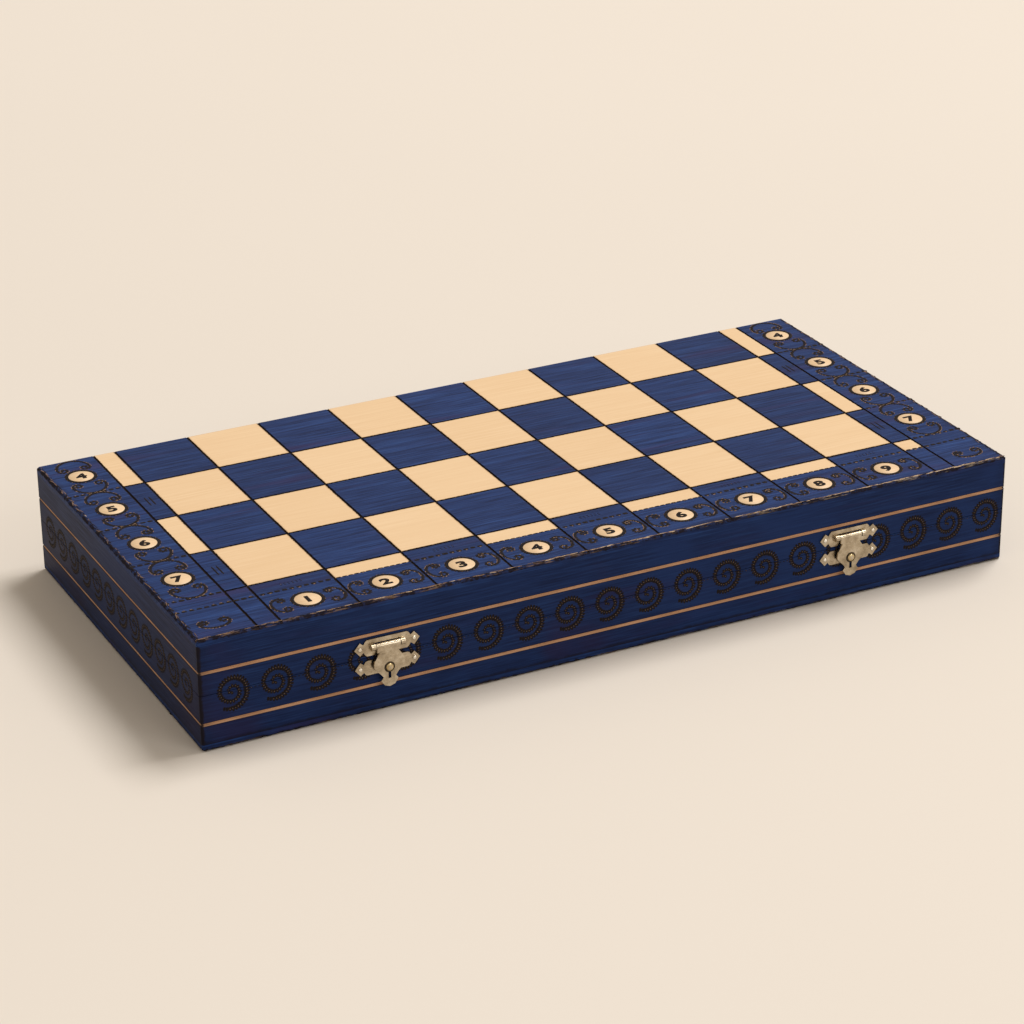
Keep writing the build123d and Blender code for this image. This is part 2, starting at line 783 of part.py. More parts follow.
for side, x in zip(side_names, latch_places):
    save(upper_plate(x), f"{side}_latch_upper_plate")
    save(lower_plate(x), f"{side}_latch_lower_plate")
    save(hasp(x), f"{side}_latch_hasp")
    with BuildPart() as wire:
        with Locations(along_x(x, latch_axis_y, latch_axis_height)):
            Cylinder(latch_pin_radius, 2 * latch_pin_half_length)
    save(wire.part, f"{side}_latch_pin")
save(latch_nails(upper_plate_centre), "lid_latch_nails")
save(latch_nails(lower_plate_centre), "base_latch_nails")
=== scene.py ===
import random
from math import acos, atan2, copysign, cos, hypot, pi, radians, sin
import bpy
from mathutils import Matrix, Vector


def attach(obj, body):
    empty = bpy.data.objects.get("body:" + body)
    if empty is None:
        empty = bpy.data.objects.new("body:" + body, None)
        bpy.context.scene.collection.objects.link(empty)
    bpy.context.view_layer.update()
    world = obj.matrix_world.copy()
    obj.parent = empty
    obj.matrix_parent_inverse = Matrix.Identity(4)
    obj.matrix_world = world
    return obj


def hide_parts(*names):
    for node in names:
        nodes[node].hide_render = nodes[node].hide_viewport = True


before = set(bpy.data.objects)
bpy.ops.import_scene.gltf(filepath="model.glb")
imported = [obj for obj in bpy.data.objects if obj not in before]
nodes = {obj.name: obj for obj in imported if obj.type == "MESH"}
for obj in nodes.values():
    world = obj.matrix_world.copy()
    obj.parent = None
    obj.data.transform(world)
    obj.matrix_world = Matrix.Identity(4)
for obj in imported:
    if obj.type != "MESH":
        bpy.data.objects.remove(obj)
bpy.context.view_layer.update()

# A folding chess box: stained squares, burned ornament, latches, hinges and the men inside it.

MM = 0.001
rng = random.Random(7)

# Sizes of the box in mm, as in the part
LENGTH, DEPTH, HEIGHT = 400.0, 200.0, 52.0
JOINT = HEIGHT / 2
JOINT_GAP = 0.3
BORDER, STRIP, FILES, RANKS = 38.0, 10.5, 9, 4
FILE = (LENGTH - 2 * BORDER) / FILES
RANK = (DEPTH - BORDER) / RANKS
FIELD_X = FILES / 2 * FILE
FIELD_Y = -DEPTH / 2 + BORDER
LID_LINE, BASE_LINE = JOINT + 10.5, JOINT - 13.5
BAND_MIDDLE = 14.6  # from the outer edge to the middle of the roundels
LINE_OVERRUN, BACK_RIM = 1.5, 3.0  # past the squares, and left free along the back
LINE_DEPTH, LINE_REACH = 0.35, 0.9  # of the grooves, and how far down the edges the burn goes

# Colours
BLUE_DEEP = (0.006, 0.012, 0.046)
BLUE = (0.0130, 0.033, 0.123)
BLUE_LIGHT = (0.026, 0.072, 0.235)
PURPLE = (0.030, 0.019, 0.075)
BURN = (0.011, 0.0065, 0.0050)
SCORCH = (0.36, 0.19, 0.08)
TAN = (0.42, 0.255, 0.135)
CREAM = (0.60, 0.50, 0.38)
SIDE_LINE = (0.58, 0.35, 0.215)
BEIGE_DARK = (0.685, 0.470, 0.272)
BEIGE = (0.735, 0.518, 0.310)
BEIGE_LIGHT = (0.81, 0.605, 0.39)
SOOT = (0.008, 0.008, 0.020)
CHAR = (0.008, 0.007, 0.012)
SHADOW = (0.006, 0.008, 0.022)
PURPLE_DEEP = (0.020, 0.014, 0.050)
UMBER = (0.026, 0.020, 0.018)
RUST = (0.36, 0.19, 0.10)
PIT = (0.12, 0.09, 0.06)

# Tones of the woods and the burned marks, each from a share of its noise
BARE_TONES = [(0.28, BEIGE_DARK), (0.5, BEIGE), (0.8, BEIGE_LIGHT)]
LIGHT_TONES = [(0.3, (0.52, 0.31, 0.14)), (0.5, (0.72, 0.48, 0.25)), (0.75, (0.82, 0.59, 0.34))]
DARK_TONES = [(0.3, (0.008, 0.013, 0.050)), (0.5, (0.014, 0.033, 0.115)), (0.75, (0.026, 0.065, 0.20))]
BURN_TONES = [(0.35, (0.006, 0.004, 0.004)), (0.62, (0.014, 0.009, 0.008)), (0.8, (0.040, 0.023, 0.016))]


class Graph:
    """Builds a material's nodes with short calls."""

    def __init__(self, name):
        self.mat = bpy.data.materials.new(name)
        self.mat.use_nodes = True
        self.nt = self.mat.node_tree
        self.nt.nodes.clear()
        self.out = self.node("OutputMaterial")
        self.bsdf = self.node("BsdfPrincipled")
        self.nt.links.new(self.bsdf.outputs[0], self.out.inputs[0])
        self.coord = self.node("TexCoord").outputs["Object"]

    def node(self, kind):
        return self.nt.nodes.new("ShaderNode" + kind)

    def put(self, socket, value):
        if isinstance(value, bpy.types.NodeSocket):
            self.nt.links.new(value, socket)
        else:
            if socket.type == "RGBA":
                value = (*value, 1) if isinstance(value, tuple) else (value, value, value, 1)
            socket.default_value = value

    def math(self, op, a, b=0.0, c=0.0):
        n = self.node("Math")
        n.operation = op
        for i, v in enumerate((a, b, c)):
            self.put(n.inputs[i], v)
        return n.outputs[0]

    def every(self, op, *values):
        """One operation over several values."""
        total = values[0]
        for v in values[1:]:
            total = self.math(op, total, v)
        return total

    def apart(self, a, b):
        """How far apart two values lie."""
        return self.math("ABSOLUTE", self.math("SUBTRACT", a, b))

    def xyz(self):
        """The place on the object in mm."""
        s = self.node("SeparateXYZ")
        self.put(s.inputs[0], self.coord)
        return [self.math("MULTIPLY", s.outputs[i], 1000.0) for i in range(3)]

    def stretched(self, across, lengthwise, along, offset=(0, 0, 0)):
        """Coordinates for a noise that is stretched along one axis."""
        m = self.node("Mapping")
        self.put(m.inputs["Vector"], self.coord)
        scale = [across] * 3
        scale[along] = lengthwise
        m.inputs["Scale"].default_value = scale
        m.inputs["Location"].default_value = offset
        return m.outputs[0]

    def noise(self, scale, detail=3.0, rough=0.55, vector=None, distortion=0.0):
        n = self.node("TexNoise")
        self.put(n.inputs["Vector"], vector if vector is not None else self.coord)
        n.inputs["Scale"].default_value = scale
        n.inputs["Detail"].default_value = detail
        n.inputs["Roughness"].default_value = rough
        n.inputs["Distortion"].default_value = distortion
        return n.outputs[0]

    def ramp(self, fac, stops):
        n = self.node("ValToRGB")
        e = n.color_ramp.elements
        while len(e) < len(stops):
            e.new(0.5)
        for el, (p, c) in zip(e, stops):
            el.position = p
            el.color = (*c, 1) if isinstance(c, tuple) else (c, c, c, 1)
        self.put(n.inputs[0], fac)
        return n.outputs[0]

    def span(self, v, low, high, to_low=0.0, to_high=1.0, smooth=True):
        n = self.node("MapRange")
        n.interpolation_type = "SMOOTHSTEP" if smooth else "LINEAR"
        n.clamp = True
        self.put(n.inputs[0], v)
        for i, x in enumerate((low, high, to_low, to_high)):
            self.put(n.inputs[i + 1], x)
        return n.outputs[0]

    def mix(self, fac, a, b, blend="MIX"):
        n = self.node("Mix")
        n.data_type = "RGBA"
        n.blend_type = blend
        n.clamp_factor = True
        self.put(n.inputs[0], fac)
        self.put(n.inputs[6], a)
        self.put(n.inputs[7], b)
        return n.outputs[2]

    def tint(self, colour, other, v, low, high, most):
        """The colour, turned towards another one where v goes from low to high."""
        return self.mix(self.span(v, low, high, 0.0, most), colour, other)

    def bump(self, height, strength, distance=0.0004, normal=None):
        n = self.node("Bump")
        n.inputs["Strength"].default_value = strength
        n.inputs["Distance"].default_value = distance
        self.put(n.inputs["Height"], height)
        if normal is not None:
            self.put(n.inputs["Normal"], normal)
        return n.outputs[0]

    def done(self, colour, rough, normal=None, metal=0.0, coat=0.0, spec=0.5):
        self.put(self.bsdf.inputs["Base Color"], colour)
        self.put(self.bsdf.inputs["Roughness"], rough)
        self.bsdf.inputs["Metallic"].default_value = metal
        self.bsdf.inputs["Coat Weight"].default_value = coat
        self.bsdf.inputs["Coat Roughness"].default_value = 0.3
        self.bsdf.inputs["Specular IOR Level"].default_value = spec
        if normal is not None:
            self.put(self.bsdf.inputs["Normal"], normal)
        return self.mat


def blue_stain(g, along):
    """Blue-stained wood with its grain along one axis: colour and a height for bump."""
    streak = g.noise(1.0, 4.0, 0.65, g.stretched(1300.0, 42.0, along))
    broad = g.noise(1.0, 3.0, 0.6, g.stretched(330.0, 11.0, along, (2.0, 5.0, 9.0)))
    cloud = g.noise(1.0, 3.0, 0.6, g.stretched(90.0, 9.0, along, (3.1, 7.7, 1.3)), 0.4)
    shade = g.ramp(streak, [(0.30, BLUE_DEEP), (0.52, BLUE), (0.76, BLUE_LIGHT)])
    shade = g.tint(shade, BLUE_LIGHT, broad, 0.55, 0.75, 0.42)
    shade = g.tint(shade, BLUE_DEEP, broad, 0.46, 0.30, 0.45)
    shade = g.tint(shade, PURPLE, cloud, 0.54, 0.75, 0.60)
    return shade, streak


def pale_wood(g, along):
    """Bare pale wood with fine grain."""
    streak = g.noise(1.0, 4.0, 0.6, g.stretched(900.0, 28.0, along, (5.0, 1.0, 2.0)))
    cloud = g.noise(1.0, 3.0, 0.55, g.stretched(60.0, 6.0, along, (1.7, 4.4, 8.1)), 0.8)
    shade = g.ramp(streak, [(0.25, BEIGE_DARK), (0.45, BEIGE), (0.72, BEIGE_LIGHT)])
    shade = g.mix(g.span(cloud, 0.30, 0.70, 0.25, 0.75), shade, BEIGE)
    return shade, streak


def burned_line(g, offset, half):
    """How burned a place is, from its distance to a line's middle and the line's half width."""
    return g.span(offset, g.math("ADD", half, 0.22), half, 0.0, 1.0)


def board_material(name, shift, face_height):
    """A half of the board: stained squares, burned lines and burned outer edges."""
    g = Graph(name)
    x, y, z = g.xyz()
    blue, blue_grain = blue_stain(g, 0)
    pale, pale_grain = pale_wood(g, 0)
    u = g.math("DIVIDE", g.math("ADD", x, FIELD_X), FILE)
    v = g.math("DIVIDE", g.math("SUBTRACT", DEPTH / 2, y), RANK)
    square = g.every("ADD", g.math("FLOOR", u), g.math("FLOOR", v), shift)
    parity = g.math("FLOORED_MODULO", square, 2.0)
    ax = g.math("ABSOLUTE", x)
    between_sides = g.math("LESS_THAN", ax, FIELD_X + STRIP)
    inside = g.math("MULTIPLY", between_sides, g.math("GREATER_THAN", y, FIELD_Y - STRIP))
    corner = g.math("MULTIPLY", g.math("LESS_THAN", x, -FIELD_X), g.math("LESS_THAN", y, FIELD_Y))
    below = g.apart(z, face_height)
    on_face = g.math("LESS_THAN", below, LINE_DEPTH)
    beige = g.every("MULTIPLY", parity, inside, g.math("SUBTRACT", 1.0, corner), on_face)
    # each square has its own tone
    cell = g.node("CombineXYZ")
    g.put(cell.inputs[0], g.math("FLOOR", u))
    g.put(cell.inputs[1], g.math("FLOOR", v))
    white = g.node("TexWhiteNoise")
    g.put(white.inputs["Vector"], cell.outputs[0])
    tone = g.math("MULTIPLY", white.outputs["Value"], inside)
    blue = g.mix(g.math("MULTIPLY", tone, 0.35), blue, BLUE_DEEP)
    pale = g.mix(g.math("MULTIPLY", tone, 0.25), pale, BEIGE_LIGHT)
    colour = g.mix(beige, blue, pale)
    # burned lines, a little uneven
    half = g.span(g.noise(900.0, 2.0, 0.5), 0.3, 0.7, 0.34, 0.64, False)
    du = g.math("MULTIPLY", g.apart(u, g.math("ROUND", u)), FILE)
    dv = g.math("MULTIPLY", g.apart(v, g.math("ROUND", v)), RANK)
    outer = g.apart(ax, FIELD_X + STRIP)
    in_files = g.math("LESS_THAN", ax, FIELD_X + LINE_OVERRUN)
    in_ranks = g.every(
        "MULTIPLY",
        between_sides,
        g.math("GREATER_THAN", y, FIELD_Y - LINE_OVERRUN),
        g.math("LESS_THAN", y, DEPTH / 2 - BACK_RIM),
    )
    line = g.every(
        "MAXIMUM",
        g.math("MULTIPLY", burned_line(g, du, half), in_files),
        burned_line(g, outer, half),
        g.math("MULTIPLY", burned_line(g, dv, half), in_ranks),
    )
    line = g.math("MULTIPLY", line, g.math("LESS_THAN", below, LINE_REACH))
    # scorched haze beside the burned lines on the pale squares
    haze = g.math("MULTIPLY", g.span(g.math("MINIMUM", du, dv), 1.5, 0.5, 0.0, 0.40), beige)
    colour = g.mix(haze, colour, SCORCH)
    colour = g.mix(line, colour, BURN)
    # burned outer edges, measured over the edge from the face, with painted highlights (glints) along the
    # front edge, tan turning cream towards the right
    to_side = g.math("SUBTRACT", LENGTH / 2, ax)
    to_front = g.math("ADD", y, DEPTH / 2)
    d = g.math("ADD", g.math("MINIMUM", to_side, to_front), below)
    rough_edge = g.span(g.noise(380.0, 4.0, 0.7), 0.35, 0.72, 0.0, 1.3, False)
    burned = g.span(g.math("SUBTRACT", d, rough_edge), 0.75, 0.15, 0.0, 0.97)
    colour = g.mix(burned, colour, BURN)
    soot = g.math("SUBTRACT", d, g.span(g.noise(70.0, 3.0, 0.6), 0.35, 0.75, 0.0, 3.0, False))
    colour = g.tint(colour, SOOT, soot, 2.2, -1.0, 0.45)
    # painted highlight: glints on the front rim, creamier towards the right
    glint = g.noise(1.0, 4.0, 0.7, g.stretched(620.0, 70.0, 0, (9.0, 2.0, 4.0)))
    near = g.math("MULTIPLY", g.span(d, 1.15, 0.2, 0.0, 1.0), g.math("LESS_THAN", to_front, 1.2))
    bright = g.tint(TAN, CREAM, x, -60.0, 150.0, 0.75)
    colour = g.mix(g.math("MULTIPLY", near, g.span(glint, 0.52, 0.60, 0.0, 0.85)), colour, bright)
    height = g.mix(beige, blue_grain, pale_grain)
    normal = g.bump(height, 0.10, 0.0002)
    normal = g.bump(line, 0.6, -0.0003, normal)
    rough = g.mix(g.math("MAXIMUM", line, burned), g.span(height, 0.3, 0.7, 0.55, 0.45, False), 0.8)
    return g.done(colour, rough, normal, spec=0.06)


def wall_material(name, along):
    """A side wall: navy stain, pale turned lines, burned corners and rims."""
    g = Graph(name)
    x, y, z = g.xyz()
    colour, grain = blue_stain(g, along)
    # painted shade: the walls' stain is darkened so they stay darker than the lit top
    colour = g.mix(0.50, colour, BLUE_DEEP)
    patch = g.noise(13.0, 3.0, 0.6)
    colour = g.tint(colour, BLUE, patch, 0.48, 0.68, 0.50)
    colour = g.tint(colour, PURPLE_DEEP, patch, 0.46, 0.32, 0.55)
    lengthwise, half_length, line_half = (x, LENGTH / 2, 0.52) if along == 0 else (y, DEPTH / 2, 0.30)
    # painted shade with a warm reflection from the floor: the short walls turn brownish
    if along == 1:
        colour = g.mix(0.30, colour, UMBER)
    uneven = g.noise(1.0, 3.0, 0.5, g.stretched(500.0, 60.0, along))
    for height in (LID_LINE, BASE_LINE):
        d = g.apart(z, height)
        colour = g.tint(colour, CHAR, d, 1.25, 0.75, 0.75)
        tone = g.tint(SIDE_LINE, RUST, uneven, 0.35, 0.65, 0.5)
        colour = g.tint(colour, tone, d, line_half + 0.28, line_half, 1.0)
    # burned upright corners, with painted shade deepening over the last 7 mm towards them
    d = g.math("SUBTRACT", half_length, g.math("ABSOLUTE", lengthwise))
    d = g.math("SUBTRACT", d, g.span(g.noise(300.0, 3.0, 0.65), 0.3, 0.7, 0.0, 1.1, False))
    colour = g.tint(colour, BURN, d, 1.3, 0.2, 0.92)
    colour = g.tint(colour, SHADOW, d, 7.0, 0.0, 0.30)
    # darkening at the foot
    foot = g.math("SUBTRACT", z, g.span(g.noise(200.0, 3.0, 0.65), 0.3, 0.7, 0.0, 1.2, False))
    colour = g.tint(colour, CHAR, foot, 4.2, 2.6, 0.7)
    normal = g.bump(grain, 0.12, 0.0002)
    rough = g.span(grain, 0.3, 0.7, 0.56, 0.46, False)
    return g.done(colour, rough, normal, spec=0.06)


def plain_wood(name, stops, along, rough=0.4, coat=0.3):
    """Turned or cut wood, its grain along one axis."""
    g = Graph(name)
    streak = g.noise(1.0, 4.0, 0.6, g.stretched(800.0, 34.0, along), 0.3)
    cloud = g.noise(35.0, 3.0, 0.5)
    colour = g.ramp(streak, stops)
    colour = g.tint(colour, stops[0][1], cloud, 0.4, 0.7, 0.35)
    shine = g.span(streak, 0.3, 0.7, rough + 0.08, rough - 0.05, False)
    return g.done(colour, shine, g.bump(streak, 0.15, 0.0001), coat=coat)


def charred(name, stops):
    """Burned wood, matt and uneven."""
    g = Graph(name)
    n = g.noise(1500.0, 3.0, 0.6)
    return g.done(g.ramp(n, stops), g.span(n, 0.3, 0.7, 0.80, 0.6, False), g.bump(n, 0.5, 0.0001), spec=0.08)


def metal(name, dark, middle, light, rough=0.34):
    """Plated sheet metal with a brushed face, dulled in patches and pitted."""
    g = Graph(name)
    patches = g.noise(210.0, 4.0, 0.6)
    brushed = g.noise(1.0, 3.0, 0.6, g.stretched(4200.0, 160.0, 0))
    pits = g.noise(2200.0, 2.0, 0.5)
    colour = g.ramp(patches, [(0.28, dark), (0.50, middle), (0.75, light)])
    colour = g.tint(colour, light, brushed, 0.40, 0.70, 0.25)
    colour = g.tint(colour, PIT, pits, 0.60, 0.72, 0.6)
    shine = g.span(patches, 0.3, 0.75, rough + 0.08, rough - 0.08, False)
    pressed = g.noise(620.0, 3.0, 0.6)
    colour = g.tint(colour, dark, pressed, 0.50, 0.36, 0.25)
    normal = g.bump(pressed, 0.35, 0.00030, g.bump(pits, 0.2, 0.00006, g.bump(brushed, 0.12, 0.00004)))
    return g.done(colour, shine, normal, metal=1.0)


def felt_material():
    """Flocked lining with a soft nap."""
    g = Graph("navy_felt")
    n = g.noise(1800.0, 4.0, 0.7)
    m = g.noise(60.0, 3.0, 0.6)
    colour = g.ramp(n, [(0.3, (0.007, 0.010, 0.036)), (0.7, (0.022, 0.032, 0.095))])
    colour = g.tint(colour, (0.014, 0.018, 0.050), m, 0.4, 0.7, 0.4)
    g.bsdf.inputs["Sheen Weight"].default_value = 0.06
    g.bsdf.inputs["Sheen Roughness"].default_value = 0.5
    return g.done(colour, 0.95, g.bump(n, 0.6, 0.0002), spec=0.04)


MAT = {
    "lid_board": board_material("lid_board", 0.0, HEIGHT),
    "base_board": board_material("base_board", 1.0, 0.0),
    "long_wall": wall_material("long_wall", 0),
    "short_wall": wall_material("short_wall", 1),
    "burn": charred("burned", BURN_TONES),
    # painted highlights: tan glints and paler cream glints on the burned marks and rims
    "glint": charred("burn_glint", [(0.35, (0.11, 0.065, 0.040)), (0.65, (0.33, 0.21, 0.135))]),
    "cream": charred("cream_painted_glint", [(0.35, TAN), (0.65, CREAM)]),
    "bead": charred("burn_bead", [(0.35, (0.050, 0.036, 0.030)), (0.65, (0.145, 0.098, 0.070))]),
    "roundel": plain_wood("roundel_wood", BARE_TONES, 0, 0.5, 0.0),
    "light_men": plain_wood("light_men", LIGHT_TONES, 1),
    "dark_men": plain_wood("dark_men", DARK_TONES, 1),
    "nickel": metal("dulled_nickel", (0.27, 0.215, 0.145), (0.43, 0.355, 0.25), (0.66, 0.58, 0.45), 0.25),
    # lighter metal: the domed nails' own tone, and painted highlights on bevelled edges
    "bright": metal("bright_nickel", (0.60, 0.53, 0.42), (0.80, 0.74, 0.64), (0.90, 0.86, 0.78), 0.20),
    "steel": metal("dark_steel", (0.16, 0.14, 0.12), (0.30, 0.27, 0.23), (0.42, 0.38, 0.33)),
    "brass": metal("aged_brass", (0.16, 0.11, 0.05), (0.44, 0.33, 0.17), (0.72, 0.58, 0.34), 0.25),
    # painted shade: near-black metal for the hole round each hasp's stud
    "hole_shade": metal("hole_shade", (0.020, 0.016, 0.012), (0.05, 0.04, 0.028), PIT, 0.45),
    "felt": felt_material(),
}


HIGHLIGHT_EDGE = 0.25  # how wide the painted highlights on the metal's bevelled edges are


def dress(obj, material):
    obj.data.materials.clear()
    obj.data.materials.append(material)


for name, obj in nodes.items():
    if name == "lid_board_panel":
        dress(obj, MAT["lid_board"])
    elif name == "base_board_panel":
        dress(obj, MAT["base_board"])
    elif name.endswith("wall"):
        dress(obj, MAT["short_wall" if "left" in name or "right" in name else "long_wall"])
    elif "insert" in name:
        dress(obj, MAT["felt"])
    elif name.startswith("light_"):
        dress(obj, MAT["light_men"])
    elif name.startswith("dark_"):
        dress(obj, MAT["dark_men"])
    else:
        dress(obj, MAT["steel" if name.endswith("_pin") else "nickel"])
        # painted highlights: the bevel faces get the lighter metal of the second slot
        obj.data.materials.append(MAT["bright"])
        worn = obj.modifiers.new("worn_edges", "BEVEL")
        worn.width = HIGHLIGHT_EDGE * MM
        worn.material = 1
        worn.segments = 2
        worn.limit_method = "ANGLE"
        worn.angle_limit = radians(40)
        worn.harden_normals = True


def piece(name, verts, faces, material, body, smooth=False, slot=None):
    """A mesh given in mm in the row frame, riding on a body."""
    me = bpy.data.meshes.new(name)
    me.from_pydata([(a * MM, b * MM, c * MM) for a, b, c in verts], [], faces)
    me.validate()
    me.update()
    ob = bpy.data.objects.new(name, me)
    bpy.context.scene.collection.objects.link(ob)
    me.materials.append(material)
    if smooth:
        me.polygons.foreach_set("use_smooth", [True] * len(me.polygons))
        me.set_sharp_from_angle(angle=radians(60))
    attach(ob, body)
    return ob


class Face:
    """A flat face of the box: an origin, two directions along it and its outward normal, in mm."""

    def __init__(self, origin, across, upward, normal):
        self.origin, self.across = Vector(origin), Vector(across)
        self.upward, self.normal = Vector(upward), Vector(normal)

    def at(self, p, q, out=0.0):
        return tuple(self.origin + self.across * p + self.upward * q + self.normal * out)


LID_TOP = Face((0, 0, HEIGHT), (1, 0, 0), (0, 1, 0), (0, 0, 1))
UNDER = Face((0, 0, 0), (-1, 0, 0), (0, 1, 0), (0, 0, -1))
FRONT = Face((0, -DEPTH / 2, 0), (1, 0, 0), (0, 0, 1), (0, -1, 0))
BACK = Face((0, DEPTH / 2, 0), (-1, 0, 0), (0, 0, 1), (0, 1, 0))
LEFT = Face((-LENGTH / 2, 0, 0), (0, -1, 0), (0, 0, 1), (-1, 0, 0))
RIGHT = Face((LENGTH / 2, 0, 0), (0, 1, 0), (0, 0, 1), (1, 0, 0))


class Marks:
    """Burned marks of one finish, gathered into one mesh for each body and area."""

    def __init__(self, name, material):
        self.name, self.material, self.data = name, material, {}

    def add(self, face, body, verts, faces):
        area = "board" if face in (LID_TOP, UNDER) else "walls"
        v, f = self.data.setdefault((body, area), ([], []))
        n = len(v)
        v.extend(verts)
        f.extend([tuple(i + n for i in corners) for corners in faces])

    def pad(self, face, outline, height, inset):
        """A low pad with sloping sides; outline turns anticlockwise. The joint cuts one that crosses it."""
        if face is LID_TOP or face is UNDER:
            self.pad_on(face, "lid" if face is LID_TOP else "base", outline, height, inset)
            return
        low, high = JOINT - JOINT_GAP / 2, JOINT + JOINT_GAP / 2
        levels = [q for p, q in outline]
        if max(levels) > high + 0.1:
            self.pad_on(face, "lid", [(p, max(q, high)) for p, q in outline], height, inset)
        if min(levels) < low - 0.1:
            self.pad_on(face, "base", [(p, min(q, low)) for p, q in outline], height, inset)

    def pad_on(self, face, body, outline, height, inset):
        k = len(outline)
        cx = sum(p for p, q in outline) / k
        cy = sum(q for p, q in outline) / k
        verts = [face.at(p, q, -0.05) for p, q in outline]
        verts += [face.at(cx + (p - cx) * inset, cy + (q - cy) * inset, height) for p, q in outline]
        faces = [(i, (i + 1) % k, (i + 1) % k + k, i + k) for i in range(k)] + [tuple(range(k, 2 * k))]
        self.add(face, body, verts, faces)

    def dash(self, face, p, q, angle, length, width, height=0.09, sides=8):
        ca, sa = cos(angle), sin(angle)
        outline = []
        for i in range(sides):
            t = 2 * pi * (i + 0.5) / sides
            a = copysign(abs(cos(t)) ** 0.6, cos(t)) * length / 2
            b = copysign(abs(sin(t)) ** 0.6, sin(t)) * width / 2
            outline.append((p + a * ca - b * sa, q + a * sa + b * ca))
        self.pad(face, outline, height, 0.62)

    def finish(self):
        for (body, area), (v, f) in self.data.items():
            piece(f"{self.name}_{area}_{body}", v, f, self.material, body, True, area)


burn = Marks("burned_marks", MAT["burn"])
# painted highlights: glints on the strokes, roundel rings and rims
glints = Marks("painted_glints", MAT["glint"])
cream = Marks("pale_glints", MAT["cream"])
beads = Marks("burned_beads", MAT["bead"])
rounds = Marks("roundels", MAT["roundel"])
numerals = Marks("numerals", MAT["burn"])


def walk(points, step):
    """Evenly spaced places and directions along a run of points."""
    out = []
    carry = 0.0
    for (x0, y0), (x1, y1) in zip(points, points[1:]):
        d = hypot(x1 - x0, y1 - y0)
        if d < 1e-9:
            continue
        ang = atan2(y1 - y0, x1 - x0)
        s = carry
        while s < d:
            out.append((x0 + (x1 - x0) * s / d, y0 + (y1 - y0) * s / d, ang))
            s += step
        carry = s - d
    return out


SCROLL_WIDTH, SCROLL_STEP, SCROLL_DASH = 2.1, 1.35, 1.65


def beaded(face, points, width=SCROLL_WIDTH, glint=0.55):
    """A burned stroke made of touching dashes, with painted highlights (glints) on some."""
    for p, q, ang in walk(points, SCROLL_STEP):
        w = width * rng.uniform(0.85, 1.15)
        burn.dash(face, p, q, ang, SCROLL_DASH * rng.uniform(0.9, 1.1), w, 0.08)
        # painted highlight along one side of the dash
        if rng.random() < glint:
            o = -w * 0.30
            place = (p - sin(ang) * o, q + cos(ang) * o)
            glints.dash(face, *place, ang, SCROLL_DASH * rng.uniform(0.55, 1.0), w * 0.26, 0.12, 6)


def dashed(face, start, end, width=2.2, on=3.2, off=0.15, glint=0.5):
    """A straight burned line of dashes."""
    (p0, q0), (p1, q1) = start, end
    d = hypot(p1 - p0, q1 - q0)
    ang = atan2(q1 - q0, p1 - p0)
    s = on / 2
    while s < d:
        p, q = p0 + (p1 - p0) * s / d, q0 + (q1 - q0) * s / d
        burn.dash(face, p, q, ang, on * rng.uniform(0.85, 1.05), width * rng.uniform(0.8, 1.1), 0.07)
        # painted highlight along one side of the dash
        if rng.random() < glint:
            o = -width * 0.35
            place = (p - sin(ang) * o, q + cos(ang) * o)
            glints.dash(face, *place, ang, on * rng.uniform(0.25, 0.5), width * 0.32, 0.10, 6)
        s += on + off


def curl(cx, cy, r0, r1, a0, a1, steps=40):
    """A spiral round (cx, cy) from radius r0 at angle a0 to r1 at a1, in degrees."""
    out = []
    for i in range(steps + 1):
        t = i / steps
        a = radians(a0 + (a1 - a0) * t)
        r = r0 + (r1 - r0) * t
        out.append((cx + r * cos(a), cy + r * sin(a)))
    return out


def c_scroll(size, deep=1.0):
    """A C-shaped scroll with curled ends, about size tall, opening to the right, round (0, 0).

    deep stretches its back to the left.
    """
    r = size * 0.15
    top = curl(0.10 * size, 0.31 * size, 0.05 * size, r, -300, 70, 26)
    bottom = curl(0.10 * size, -0.31 * size, r, 0.05 * size, -70, 300, 26)
    arc = []
    for i in range(1, 24):
        a = radians(70 + 220 * i / 24)
        x = cos(a) * (deep if cos(a) < 0 else 1.0)
        arc.append((0.05 * size + 0.33 * size * x, 0.47 * size * sin(a)))
    return top + arc + bottom


def scroll_back(size, deep):
    """How far the back of a C-scroll lies from its middle."""
    return (0.33 * deep - 0.05) * size


def placed(points, cx, cy, turn=0.0, flip=1.0):
    c, s = cos(radians(turn)), sin(radians(turn))
    return [(cx + x * flip * c - y * s, cy + x * flip * s + y * c) for x, y in points]


ROUND_RADIUS, RING_RADIUS, RING_TEETH = 5.7, 7.35, 30


def ring_points(p, q, radii):
    """Points round (p, q), one for each radius."""
    turns = [2 * pi * i / len(radii) for i in range(len(radii))]
    return [(p + r * cos(t), q + r * sin(t)) for r, t in zip(radii, turns)]


def skin(rows, k, first=0):
    """Faces between closed rows of k places each."""
    starts = range(first, first + (rows - 1) * k, k)
    return [(a + i, a + (i + 1) % k, a + k + (i + 1) % k, a + k + i) for a in starts for i in range(k)]


